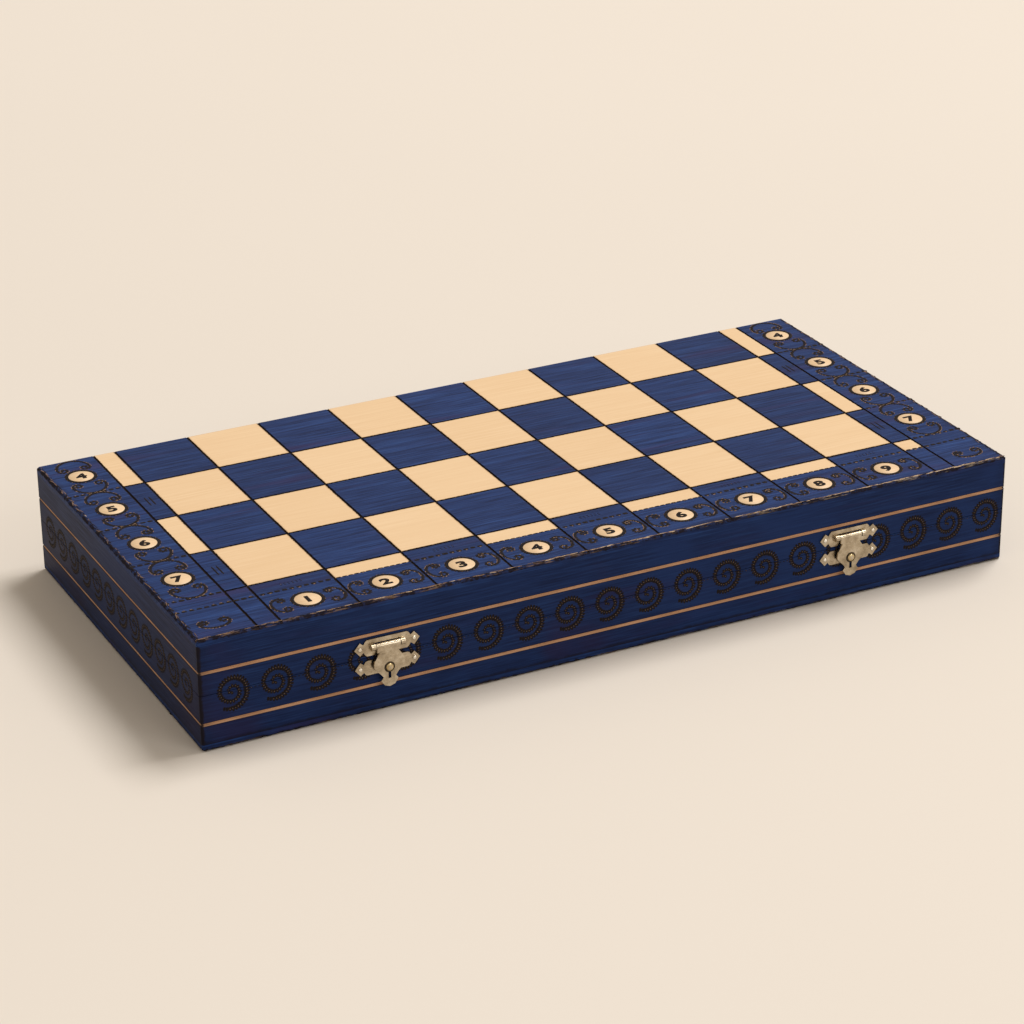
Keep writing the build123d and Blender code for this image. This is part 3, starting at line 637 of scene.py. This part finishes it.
def roundel(face, p, q, text):
    """A bare round with a notched burned ring and a plain number."""
    body = "lid" if face is LID_TOP else "base"
    k = 2 * RING_TEETH
    rounds.pad(face, ring_points(p, q, [ROUND_RADIUS * 1.03] * 40), 0.07, 0.985)
    outer = [RING_RADIUS + (rng.uniform(0.35, 0.65) if i % 2 else 0.0) for i in range(k)]
    levels = (
        (outer, -0.05),
        ([r - 0.30 for r in outer], 0.12),
        ([ROUND_RADIUS + 0.20] * k, 0.12),
        ([ROUND_RADIUS] * k, 0.03),
    )
    verts = [face.at(a, b, out) for radii, out in levels for a, b in ring_points(p, q, radii)]
    burn.add(face, body, verts, skin(len(levels), k))
    # painted highlights: short light ticks between the teeth
    for i in range(0, RING_TEETH, 2):
        a = 2 * pi * (2 * i + 0.5) / k + rng.uniform(-0.05, 0.05)
        r = RING_RADIUS + 0.1
        glints.dash(face, p + r * cos(a), q + r * sin(a), a + pi / 2, 0.7, 0.28, 0.13, 6)
    number(face, p, q, text, body)


NUMBER_SIZE, NUMBER_WEIGHT, NUMBER_RISE = 7.8, 0.36, 0.09
NUMBER_WIDE, NUMBER_TALL = 1.2, 0.95


def number(face, p, q, text, body):
    """A plain bold number, burned into the middle of a roundel."""
    cu = bpy.data.curves.new("number", "FONT")
    cu.body = text
    cu.size = NUMBER_SIZE
    cu.offset = NUMBER_WEIGHT
    cu.extrude = 0.06
    cu.resolution_u = 4
    ob = bpy.data.objects.new("number", cu)
    bpy.context.scene.collection.objects.link(ob)
    bpy.context.view_layer.update()
    me = ob.evaluated_get(bpy.context.evaluated_depsgraph_get()).to_mesh()
    xs = [v.co.x for v in me.vertices]
    ys = [v.co.y for v in me.vertices]
    mx, my = (min(xs) + max(xs)) / 2, (min(ys) + max(ys)) / 2
    verts = [
        face.at(p + (v.co.x - mx) * NUMBER_WIDE, q + (v.co.y - my) * NUMBER_TALL, NUMBER_RISE + v.co.z)
        for v in me.vertices
    ]
    numerals.add(face, body, verts, [tuple(f.vertices) for f in me.polygons])
    bpy.data.objects.remove(ob)
    bpy.data.curves.remove(cu)


def little_frame(face, p, q, length, width, along):
    """The mark in a blue cell of a strip: two solid bars along it, or else two rows of fine dashes."""
    for side in (-1, 1):
        off = side * width / 2
        if along:
            burn.dash(face, p + off, q, pi / 2, length, 0.95, 0.10)
        else:
            dashed(face, (p - length / 2, q + off), (p + length / 2, q + off), 0.6, 1.3, 0.5, 0.1)


# Scrolls of the border: size, and where it isn't 1, how deep the back is
ROW_SCROLL, ROW_SCROLL_OFF = 13.6, 12.6
COLUMN_SCROLL, COLUMN_GAP = (16.5, 1.55), 0.5
CORNER_SCROLL, CORNER_IN, CORNER_UP = 14.5, 13.0, 12.0


def decorate_board(face, first_rank, sign):
    """The border of one half: roundels, scrolls, dashed lines and the small frames in the strips."""
    edge_x, edge_y = LENGTH / 2, -DEPTH / 2
    row = edge_y + BAND_MIDDLE
    strip_edge = FIELD_Y - STRIP
    side_back = scroll_back(*COLUMN_SCROLL) + COLUMN_GAP
    for k in range(FILES):
        p = -FIELD_X + (k + 0.5) * FILE
        roundel(face, p, row, str(k + 1))
        for s in (-1, 1):
            beaded(face, placed(c_scroll(ROW_SCROLL), p + s * ROW_SCROLL_OFF, row - 0.6, 0, -s))
        blue = (k % 2 == 0) == (sign > 0)
        gap = 1.2 if blue else 0.4
        ends = (p - FILE / 2 + gap, strip_edge), (p + FILE / 2 - gap, strip_edge)
        if blue:
            dashed(face, *ends)
            little_frame(face, p, strip_edge + STRIP / 2, 10.5, 1.2, False)
        else:
            dashed(face, *ends, 1.2, 3.0, -0.2, 0.2)
    for s in (-1, 1):
        column = s * (edge_x - BAND_MIDDLE)
        for r in range(RANKS):
            q = DEPTH / 2 - (r + 0.5) * RANK
            roundel(face, column, q, str(first_rank + sign * r))
            if ((r + (FILES if s > 0 else -1)) % 2 == 0) == (sign > 0):
                little_frame(face, s * (FIELD_X + STRIP / 2), q, 11.0, 2.2, True)
        for r in range(RANKS + 1):
            q = DEPTH / 2 - r * RANK
            if r > 0:
                dashed(face, (s * (FIELD_X + STRIP + 0.8), q), (s * (edge_x - 1.0), q))
                beaded(face, placed(c_scroll(*COLUMN_SCROLL), column, q + side_back, 90))
            if r < RANKS:
                drop = side_back if r > 0 else side_back + 1.2
                beaded(face, placed(c_scroll(*COLUMN_SCROLL), column, q - drop, -90))
        dashed(face, (s * (FIELD_X + 0.8), strip_edge), (s * (edge_x - 1.0), strip_edge))
        beaded(face, placed(c_scroll(CORNER_SCROLL), s * (edge_x - CORNER_IN), edge_y + CORNER_UP, 90), 2.3)


decorate_board(LID_TOP, 4, 1)
decorate_board(UNDER, 3, -1)

SPIRAL_MIDDLE = JOINT - 0.4
HINGE_X, HINGE_HALF = 115.0, 14.0
SPIRAL_RADIUS, SPIRAL_STEPS = 6.0, 180
# From the tail inward: angle in degrees, share of the radius and width of the stroke
SPIRAL_COURSE = (
    (-118, 1.46, 2.3), (-90, 1.40, 2.9), (-55, 1.26, 3.4), (0, 1.04, 3.7), (90, 1.0, 3.7), (180, 0.99, 3.6),
    (270, 0.82, 3.3), (360, 0.46, 2.9), (450, 0.36, 2.6), (540, 0.31, 2.3), (640, 0.12, 1.9),
)


def on_course(angle):
    """Radius share and width of the spiral's stroke at an angle."""
    for (a0, r0, w0), (a1, r1, w1) in zip(SPIRAL_COURSE, SPIRAL_COURSE[1:]):
        if angle <= a1:
            t = (angle - a0) / (a1 - a0)
            return r0 + (r1 - r0) * t, w0 + (w1 - w0) * t
    return SPIRAL_COURSE[-1][1:]


def side_spirals(face, length, first, pitch, count, radius):
    """A row of spirals, with fine dashes between them but on the back, where the hinges stay clear."""
    start, end = SPIRAL_COURSE[0][0], SPIRAL_COURSE[-1][0]
    for i in range(count):
        p = -length / 2 + first + i * pitch
        if face is BACK and abs(abs(p) - HINGE_X) < HINGE_HALF + radius:
            continue
        points, widths = [], []
        for j in range(SPIRAL_STEPS + 1):
            angle = start + (end - start) * j / SPIRAL_STEPS
            share, width = on_course(angle)
            a = radians(angle)
            points.append((p + radius * share * cos(a), SPIRAL_MIDDLE + radius * share * sin(a)))
            widths.append(width * radius / SPIRAL_RADIUS)
        ring = walk(points, 1.28)
        for n, (a, b, ang) in enumerate(ring):
            w = widths[min(SPIRAL_STEPS, int((SPIRAL_STEPS + 1) * n / len(ring)))]
            burn.dash(face, a, b, ang + 0.30, 1.48, w * rng.uniform(0.90, 1.10), 0.06)
            if n > 1:
                beads.dash(face, a, b, ang + 0.3, 0.64, 0.28 * w, 0.10, 6)
        if i < count - 1 and face is not BACK:
            q = JOINT - 0.85
            dashed(face, (p + radius * 1.3, q), (p + pitch - radius * 1.28, q), 0.5, 1.2, 0.6, 0.3)


LONG_FIRST, LONG_PITCH, LONG_COUNT = 14.7, 19.72, 20
SHORT_END, SHORT_COUNT = 7.0, 12
SHORT_PITCH = (DEPTH - 2 * SHORT_END) / SHORT_COUNT
LONG_ROW = (LENGTH, LONG_FIRST, LONG_PITCH, LONG_COUNT, SPIRAL_RADIUS)
SHORT_ROW = (DEPTH, SHORT_END + SHORT_PITCH / 2, SHORT_PITCH, SHORT_COUNT, SPIRAL_RADIUS * 0.93)
for face, row in ((FRONT, LONG_ROW), (BACK, LONG_ROW), (LEFT, SHORT_ROW), (RIGHT, SHORT_ROW)):
    side_spirals(face, *row)


def rough_rim(face, start, end, inward, pale, reach, spread):
    """Burned burrs and painted highlights (glints) along an outer edge of a board.

    pale is the share of painted highlights at each end, reach how far in they lie and spread how far they
    turn.
    """
    (p0, q0), (p1, q1) = start, end
    d = hypot(p1 - p0, q1 - q0)
    ang = atan2(q1 - q0, p1 - p0)
    s = 1.5
    while s < d - 1.5:
        t = s / d
        off = rng.uniform(0.35, reach)
        place = (p0 + (p1 - p0) * t + inward[0] * off, q0 + (q1 - q0) * t + inward[1] * off)
        length = rng.uniform(1.4, 4.2) * (1.0 - 0.5 * spread)
        share = pale[0] + (pale[1] - pale[0]) * t
        lean = ang + rng.uniform(-spread, spread)
        # painted highlight: a glint, more often cream where the share is high
        if rng.random() < share:
            light = cream if rng.random() < share ** 3 else glints
            light.dash(face, *place, lean, length * 1.5, rng.uniform(0.26, 0.52), rng.uniform(0.08, 0.14), 6)
        else:
            burn.dash(face, *place, lean, length, rng.uniform(0.35, 0.75), rng.uniform(0.05, 0.12), 6)
        s += length * rng.uniform(0.30, 0.6)


# The share of painted highlights at each end of the front rim, and of the side rims
PAINTED_GLINT_SHARES = ((LID_TOP, (0.50, 0.90), (0.22, 0.30)), (UNDER, (0.12, 0.12), (0.08, 0.08)))
half_l, half_d = LENGTH / 2 - 0.5, DEPTH / 2 - 0.5
for face, front_share, side_share in PAINTED_GLINT_SHARES:
    rough_rim(face, (-half_l, -half_d), (half_l, -half_d), (0, 1), front_share, 1.15, 0.10)
    rough_rim(face, (-half_l, -half_d), (-half_l, half_d), (1, 0), side_share, 1.5, 0.28)
    rough_rim(face, (half_l, -half_d), (half_l, half_d), (-1, 0), side_share, 1.5, 0.28)

for marks in (burn, glints, cream, beads, rounds, numerals):
    marks.finish()

# The men, turned smooth, lying in their troughs in the places that the part gives them
BACK_RANK = ("rook", "knight", "bishop", "queen", "king", "bishop", "knight", "rook")
WALL, END_GAP, SIDE_ROOM, AXIS_DROP = 8.0, 4.0, 15.0, 9.0
FOOT_LINE = DEPTH / 2 - WALL - END_GAP
PITCH = (LENGTH - 2 * (WALL + SIDE_ROOM)) / (len(BACK_RANK) - 0.5)
FOOT_HEIGHT, FOOT_SLOPE, COLLAR, COLLAR_SHARE = 4.0, 2.2, 2.4, 1.6
KING_FOOT = 12.5
FINIAL = 2.4


def sharp(r, h):
    """A doubled point, which breaks an outline's curve there."""
    return [(r, h)] * 2


def between(a, b, c, d, t):
    """A smooth curve from b to c that heeds a and d, at the share t."""
    square, cube = 2 * a - 5 * b + 4 * c - d, 3 * b - a - 3 * c + d
    return 0.5 * (2 * b + (c - a) * t + square * t * t + cube * t ** 3)


def eased(outline, steps=3):
    """The outline with a smooth curve through its points, broken where a point is doubled."""
    runs, run = [], [outline[0]]
    for a, b in zip(outline, outline[1:]):
        if a == b:
            runs.append(run)
            run = [b]
        else:
            run.append(b)
    runs.append(run)
    out = []
    for run in runs:
        points = []
        if len(run) < 3:
            points = run
        else:
            padded = [run[0], *run, run[-1]]
            for near in zip(padded, padded[1:], padded[2:], padded[3:]):
                for k in range(steps):
                    points.append(tuple(between(*four, k / steps) for four in zip(*near)))
            points.append(run[-1])
        out.append(points)
    return out


def lathe(outline, sides=32, shape=None):
    """A turned form standing on the origin, in mm, as vertices and faces."""
    verts, faces = [], []
    for run in eased(outline):
        first = len(verts)
        for r, h in run:
            for i in range(sides):
                t = 2 * pi * i / sides
                rr, hh = (max(r, 0.02), h) if shape is None else shape(max(r, 0.02), h, t)
                verts.append((rr * cos(t), rr * sin(t), hh))
        faces += skin(len(run), sides, first)
    return verts, faces


def stem(foot, neck, shoulder):
    """A turned foot, a tapering stem and a collar."""
    waist = foot * 0.72
    low, high = FOOT_HEIGHT + FOOT_SLOPE, shoulder - COLLAR
    middle = low + (high - low) * 0.4
    return [
        (0.02, 0), *sharp(foot * 0.93, 0),
        (foot * 0.985, 0.5), (foot, 1.3), (foot * 0.985, 2.2), *sharp(foot * 0.93, 2.7),
        (foot * 0.97, 3.0), (foot * 0.95, 3.6), (foot * 0.86, FOOT_HEIGHT + 0.2), (foot * 0.80, low - 0.8),
        *sharp(waist, low), (neck + (waist - neck) * 0.55, low + (high - low) * 0.12),
        (neck + (waist - neck) * 0.28, middle), (neck * 0.98, high - 0.4), *sharp(neck, high),
        (neck * 1.42, high + 0.45), (neck * COLLAR_SHARE, shoulder - COLLAR / 2),
        (neck * 1.42, shoulder - 0.45), *sharp(neck, shoulder),
    ]


def bead(top, radius, start):
    """A ball from where it leaves the neck to its top."""
    centre = top - radius
    begin = acos(max(-1.0, min(1.0, (centre - start) / radius)))
    turns = [begin + (pi - begin) * i / 7 for i in range(8)]
    return [(radius * sin(t), centre - radius * cos(t)) for t in turns]


def pawn_form():
    height, neck, head = 43.0, 4.0, 6.2
    shoulder = height - 2 * head + 1
    return lathe(stem(KING_FOOT * 0.8, neck, shoulder) + bead(height, head, shoulder))


def rook_form():
    height, head, wall, depth, gap = 47.0, 8.8, 2.4, 3.6, 3.0
    shoulder, floor = height - 12.0, height - depth

    def notched(r, h, t):
        near = abs((t + pi / 4) % (pi / 2) - pi / 4)
        return (r, floor) if h > floor and near * head < gap / 2 + 0.2 else (r, h)

    rim = [
        (head * 0.97, shoulder + 3.0), *sharp(head, shoulder + 3.6), (head * 0.96, shoulder + 4.2),
        *sharp(head * 0.96, floor), *sharp(head * 0.97, height), *sharp(head - wall, height),
        *sharp(head - wall, floor), (0.02, floor),
    ]
    return lathe(stem(KING_FOOT * 0.92, 5.8, shoulder) + rim, 96, notched)


def bishop_form():
    height, head_height, head = 62.0, 17.0, 6.8
    shoulder = height - head_height - 2 * FINIAL + 1
    tip = height - 2 * FINIAL + 0.4
    lean = radians(35)

    def slashed(r, h, t):
        level = shoulder + head_height * 0.56
        off = (h - level) * cos(lean) - (r * cos(t) - head * 0.5) * sin(lean)
        inside = shoulder < h < tip and abs(off) < 0.55 and cos(t) > -0.1
        return (r * 0.72, h) if inside else (r, h)

    swell = (
        (0.98, 0.24), (1.0, 0.31), (0.96, 0.40), (0.90, 0.48),
        (0.82, 0.56), (0.72, 0.63), (0.58, 0.72), (0.42, 0.82),
    )
    mitre = [
        (head * 0.80, shoulder + 1.6),
        *((head * wide, shoulder + head_height * up) for wide, up in swell),
        *sharp(FINIAL * 0.6, tip),
    ]
    return lathe(stem(KING_FOOT * 0.9, 4.6, shoulder) + mitre + bead(height, FINIAL, tip), 40, slashed)


def queen_form():
    height, crown, dome, rim_radius, points = 72.0, 12.0, 3.0, 9.0, 6
    rim = height - dome - 2 * FINIAL + 1
    shoulder = rim - crown

    def pointed(r, h, t):
        on_rim = abs(h - rim) < 0.4 and r > rim_radius * 0.75
        return r, h - (1.3 * (0.5 - 0.5 * cos(points * t)) if on_rim else 0.0)

    head = [
        (5.4, shoulder + 2.0), (6.0, shoulder + 5.5), (7.4, rim - 3.2), *sharp(rim_radius, rim),
        (rim_radius * 0.80, rim - 0.1), *sharp(rim_radius * 0.72, rim - dome / 3),
        (rim_radius * 0.62, rim + 0.6), (rim_radius * 0.42, rim + dome * 0.75),
        *sharp(FINIAL * 0.7, rim + dome),
    ]
    return lathe(stem(KING_FOOT * 0.98, 5.0, shoulder) + head + bead(height, FINIAL, rim + dome), 48, pointed)


def king_form():
    height, crown, dome, rim_radius = 82.0, 12.0, 3.0, 9.0
    cross_height, span, thick = 9.0, 7.6, 2.4
    rim = height - dome - cross_height
    shoulder = rim - crown
    head = [
        (5.8, shoulder + 2.0), (6.4, shoulder + 5.5), (7.7, rim - 3.0), *sharp(rim_radius, rim - 0.5),
        *sharp(rim_radius * 0.97, rim), (rim_radius * 0.85, rim + 1.2), (rim_radius * 0.55, rim + dome * 0.8),
        *sharp(thick, rim + dome), (0.02, rim + dome),
    ]
    verts, faces = lathe(stem(KING_FOOT, 5.4, shoulder) + head)
    base, middle = rim + dome, rim + dome + cross_height * 0.58
    # a cross with arms that widen outwards
    arm, flare, slim = span / 2, thick / 2, thick * 0.32
    outline = [
        (-flare, base), (flare, base), (slim, middle - slim), (arm, middle - flare), (arm, middle + flare),
        (slim, middle + slim), (flare, height), (-flare, height), (-slim, middle + slim),
        (-arm, middle + flare), (-arm, middle - flare), (-slim, middle - slim),
    ]
    return join((verts, faces), cut_from_board(outline, thick, 0.35))


def cut_from_board(outline, thickness, rounding):
    """A form cut from a board that stands in the XZ plane, its edges rounded."""
    area = sum(x0 * z1 - x1 * z0 for (x0, z0), (x1, z1) in zip(outline, outline[1:] + outline[:1]))
    if area < 0:
        outline = outline[::-1]
    k = len(outline)
    inward = []
    for i in range(k):
        before, here, after = (Vector(outline[j % k]) for j in (i - 1, i, i + 1))
        d0, d1 = (here - before).normalized(), (after - here).normalized()
        n = Vector((-(d0.y + d1.y), d0.x + d1.x)).normalized()
        inward.append(n if d0.cross(d1) > 0 else n * 0.3)
    half = thickness / 2
    levels = (
        (rounding, -half), (rounding * 0.3, -half + rounding * 0.3), (0, -half + rounding),
        (0, half - rounding), (rounding * 0.3, half - rounding * 0.3), (rounding, half),
    )
    verts = []
    for inset, y in levels:
        verts += [(x + n.x * inset, y, z + n.y * inset) for (x, z), n in zip(outline, inward)]
    last = (len(levels) - 1) * k
    faces = [(a, d, c, b) for a, b, c, d in skin(len(levels), k)]
    return verts, [*faces, tuple(range(k)), tuple(reversed(range(last, last + k)))]


def join(*forms):
    verts, faces = [], []
    for v, f in forms:
        n = len(verts)
        verts += v
        faces += [tuple(i + n for i in corners) for corners in f]
    return verts, faces


def knight_form():
    height, thick, foot = 55.0, 10.0, KING_FOOT * 0.92
    shoulder = FOOT_HEIGHT + FOOT_SLOPE + COLLAR + 4
    tall, wide = height - shoulder, foot * 1.6

    def at(a, b):
        """A place on the head, in shares of its width and height."""
        return (a * wide, shoulder + b * tall)

    mane = (
        (-0.36, -0.02), (-0.385, 0.16), (-0.37, 0.20), (-0.405, 0.34), (-0.385, 0.38), (-0.405, 0.54),
        (-0.375, 0.58), (-0.355, 0.72), (-0.315, 0.75), (-0.24, 0.86), (-0.17, 0.90),
    )
    front = (
        (-0.03, 0.995), (0.01, 0.90), (0.12, 0.83), (0.24, 0.74), (0.40, 0.63), (0.495, 0.545),
        (0.49, 0.47), (0.44, 0.405), (0.36, 0.40), (0.24, 0.425), (0.13, 0.47), (0.07, 0.495),
        (0.10, 0.40), (0.17, 0.31), (0.235, 0.22), (0.29, 0.12), (0.33, 0.02), (0.34, -0.02),
    )

    def narrowed(x, y, z):
        """The head narrows towards the nose."""
        along = max(0.0, min(1.0, (x / wide - 0.02) / 0.45))
        up = max(0.0, min(1.0, ((z - shoulder) / tall - 0.35) * 6))
        return x, y * (1 - 0.38 * along * up), z

    verts, faces = cut_from_board([at(a, b) for a, b in mane + front], thick, 1.0)
    head = ([narrowed(*v) for v in verts], faces)
    eye_x, eye_z = at(0.12, 0.70)
    eyes = []
    for side in (-1, 1):
        ball = lathe(bead(1.15, 1.15, 0.0), 16)
        face_y = narrowed(eye_x, thick / 2, eye_z)[1]
        eyes.append(([(x + eye_x, side * (face_y - 0.35 + z), y + eye_z) for x, y, z in ball[0]], ball[1]))
    return join(lathe(stem(foot, 7.0, shoulder) + [(0.02, shoulder)]), head, *eyes)


def laid(form, across, height, to_front):
    """A standing form laid along Y with its foot towards the front or the back wall."""
    verts, faces = form
    if to_front:
        return [(across + x, -FOOT_LINE + z, height - y) for x, y, z in verts], faces
    return [(across + x, FOOT_LINE - z, height + y) for x, y, z in verts], faces


FORMS = {
    "king": king_form(), "queen": queen_form(), "bishop": bishop_form(),
    "knight": knight_form(), "rook": rook_form(), "pawn": pawn_form(),
}
for colour, body, sign in (("light", "base", -1), ("dark", "lid", 1)):
    height, stagger = JOINT + sign * AXIS_DROP, sign * PITCH / 4
    for kind, form in FORMS.items():
        rank = ("pawn",) * len(BACK_RANK) if kind == "pawn" else BACK_RANK
        men = [
            laid(form, (i - (len(rank) - 1) / 2) * PITCH + stagger, height, kind == "pawn")
            for i, held in enumerate(rank) if held == kind
        ]
        node = f"{colour}_{kind}" if len(men) == 1 else f"{colour}_{kind}s"
        group = piece(f"{node}_turned", *join(*men), MAT[f"{colour}_men"], body, True, f"{colour}_men")
        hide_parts(node)

# The flocked linings follow the cut blocks, with softened edges
LINING_GRAIN = 1.9
for body in ("base", "lid"):
    node = f"{body}_insert"
    me = nodes[node].data.copy()
    lining = bpy.data.objects.new(f"{body}_lining", me)
    bpy.context.scene.collection.objects.link(lining)
    remesh = lining.modifiers.new("even", "REMESH")
    remesh.mode = "VOXEL"
    remesh.voxel_size = LINING_GRAIN * MM
    soft = lining.modifiers.new("soft", "SMOOTH")
    soft.factor, soft.iterations = 0.5, 5
    soft_mesh = bpy.data.meshes.new_from_object(lining.evaluated_get(bpy.context.evaluated_depsgraph_get()))
    lining.modifiers.clear()
    lining.data = soft_mesh
    soft_mesh.polygons.foreach_set("use_smooth", [True] * len(soft_mesh.polygons))
    dress(lining, MAT["felt"])
    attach(lining, body)
    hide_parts(node)

# Domed nails of the latch plates
LATCH_X, NAIL_SPREAD, NAIL_RADIUS, NAIL_RISE, PLATE_FACE = 115.0, 12.6, 0.95, 0.62, 0.9
NAIL_HEIGHTS = {"lid": JOINT + 4.9, "base": JOINT - 4.5}
NAIL_HEAD = [
    (NAIL_RADIUS, -0.1), (NAIL_RADIUS, 0.05), (NAIL_RADIUS * 0.92, NAIL_RISE * 0.45),
    (NAIL_RADIUS * 0.6, NAIL_RISE * 0.85), (0.02, NAIL_RISE),
]


def on_front(outline, sides, x, z, out):
    """A turned form that points to the front, its foot out from the box's front face."""
    verts, faces = lathe(outline, sides)
    return [(x + a, -(DEPTH / 2 + out + c), z + b) for a, b, c in verts], faces


for body, z in NAIL_HEIGHTS.items():
    places = [side * LATCH_X + end * NAIL_SPREAD for side in (-1, 1) for end in (-1, 1)]
    heads = join(*(on_front(NAIL_HEAD, 20, x, z, PLATE_FACE) for x in places))
    nails = piece(f"{body}_domed_nails", *heads, MAT["bright"], body, True, "latch_metal")
    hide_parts(f"{body}_latch_nails")

# A bright stud in a dark ring on each hasp, over its catch; the near-black ring is painted shade for the hole
# round the catch
STUD_HEIGHT, STUD_FACE, STUD_RADIUS = JOINT - 5.1, 2.8, 1.78
STUD = [
    (STUD_RADIUS, -0.1), (STUD_RADIUS, 0.35), (STUD_RADIUS * 0.86, 0.75),
    (STUD_RADIUS * 0.56, 0.97), (0.02, 1.0),
]
STUD_RING = [(2.5, -0.1), (2.5, 0.02), *sharp(2.35, 0.10), (1.7, 0.10)]
for side, body in ((-1, "left_hasp"), (1, "right_hasp")):
    for name, outline, material in (("stud", STUD, "brass"), ("stud_ring", STUD_RING, "hole_shade")):
        form = on_front(outline, 28, side * LATCH_X, STUD_HEIGHT, STUD_FACE)
        piece(f"{body}_{name}", *form, MAT[material], body, True, "latch_metal")

FLOOR_DROP = 0.2  # clear of the marks underneath


def stage():
    """A pale floor and soft light from the upper right."""
    g = Graph("floor")
    n = g.noise(0.8, 2.0, 0.5)
    tone = g.ramp(n, [(0.3, (0.722, 0.662, 0.595)), (0.7, (0.747, 0.687, 0.62))])
    bpy.ops.mesh.primitive_plane_add(size=30, location=(0, 0, -FLOOR_DROP * MM))
    floor = bpy.context.object
    floor.name = "floor"
    dress(floor, g.done(tone, 0.9, spec=0.1))
    w = bpy.data.worlds.new("w")
    bpy.context.scene.world = w
    w.use_nodes = True
    nt = w.node_tree
    add, link = nt.nodes.new, nt.links.new
    light = nt.nodes["Background"]
    light.inputs[0].default_value = (1.0, 0.89, 0.75, 1)
    light.inputs[1].default_value = 0.48
    seen = add("ShaderNodeBackground")
    seen.inputs[0].default_value = (0.84, 0.76, 0.66, 1)
    rays = add("ShaderNodeLightPath").outputs
    looked = rays["Is Camera Ray"]
    for kind in ("Is Glossy Ray", "Is Transmission Ray"):
        either = add("ShaderNodeMath")
        either.operation = "MAXIMUM"
        link(looked, either.inputs[0])
        link(rays[kind], either.inputs[1])
        looked = either.outputs[0]
    choose = add("ShaderNodeMixShader")
    link(looked, choose.inputs[0])
    link(light.outputs[0], choose.inputs[1])
    link(seen.outputs[0], choose.inputs[2])
    link(choose.outputs[0], nt.nodes["World Output"].inputs[0])

    def lamp(name, place, size, power, colour):
        li = bpy.data.lights.new(name, "AREA")
        li.shape = "RECTANGLE"
        li.size, li.size_y = size
        li.energy = power
        li.color = colour
        ob = bpy.data.objects.new(name, li)
        ob.location = place
        ob.rotation_euler = (-Vector(place)).to_track_quat("-Z", "Y").to_euler()
        bpy.context.scene.collection.objects.link(ob)

    lamp("key", (4.2, 1.0, 7.6), (4.2, 3.4), 590, (1.0, 0.985, 0.965))
    lamp("fill", (1.6, -4.0, 2.4), (2.6, 1.8), 36, (0.96, 0.98, 1.0))


stage()

# The camera, fitted to the photo: its place in metres, the way it looks and its right
SENSOR_WIDTH, LENS = 36, 111.71
CAMERA_PLACE = (-0.60155, -1.19712, 0.64318)
CAMERA_AHEAD = (0.4051, 0.8130, -0.4181)
CAMERA_RIGHT = (0.8934, -0.4491, -0.0105)
cam = bpy.data.cameras.new("camera")
cam.sensor_width = SENSOR_WIDTH
cam.lens = LENS
cam.clip_start, cam.clip_end = 0.05, 60
camera = bpy.data.objects.new("camera", cam)
bpy.context.scene.collection.objects.link(camera)
right = Vector(CAMERA_RIGHT).normalized()
ahead = Vector(CAMERA_AHEAD).normalized()
up = right.cross(ahead).normalized()
right = ahead.cross(up).normalized()
facing = Matrix((right, up, -ahead)).transposed().to_4x4()
facing.translation = Vector(CAMERA_PLACE)
camera.matrix_world = facing
bpy.context.scene.camera = camera
bpy.context.scene.view_settings.view_transform = "Standard"
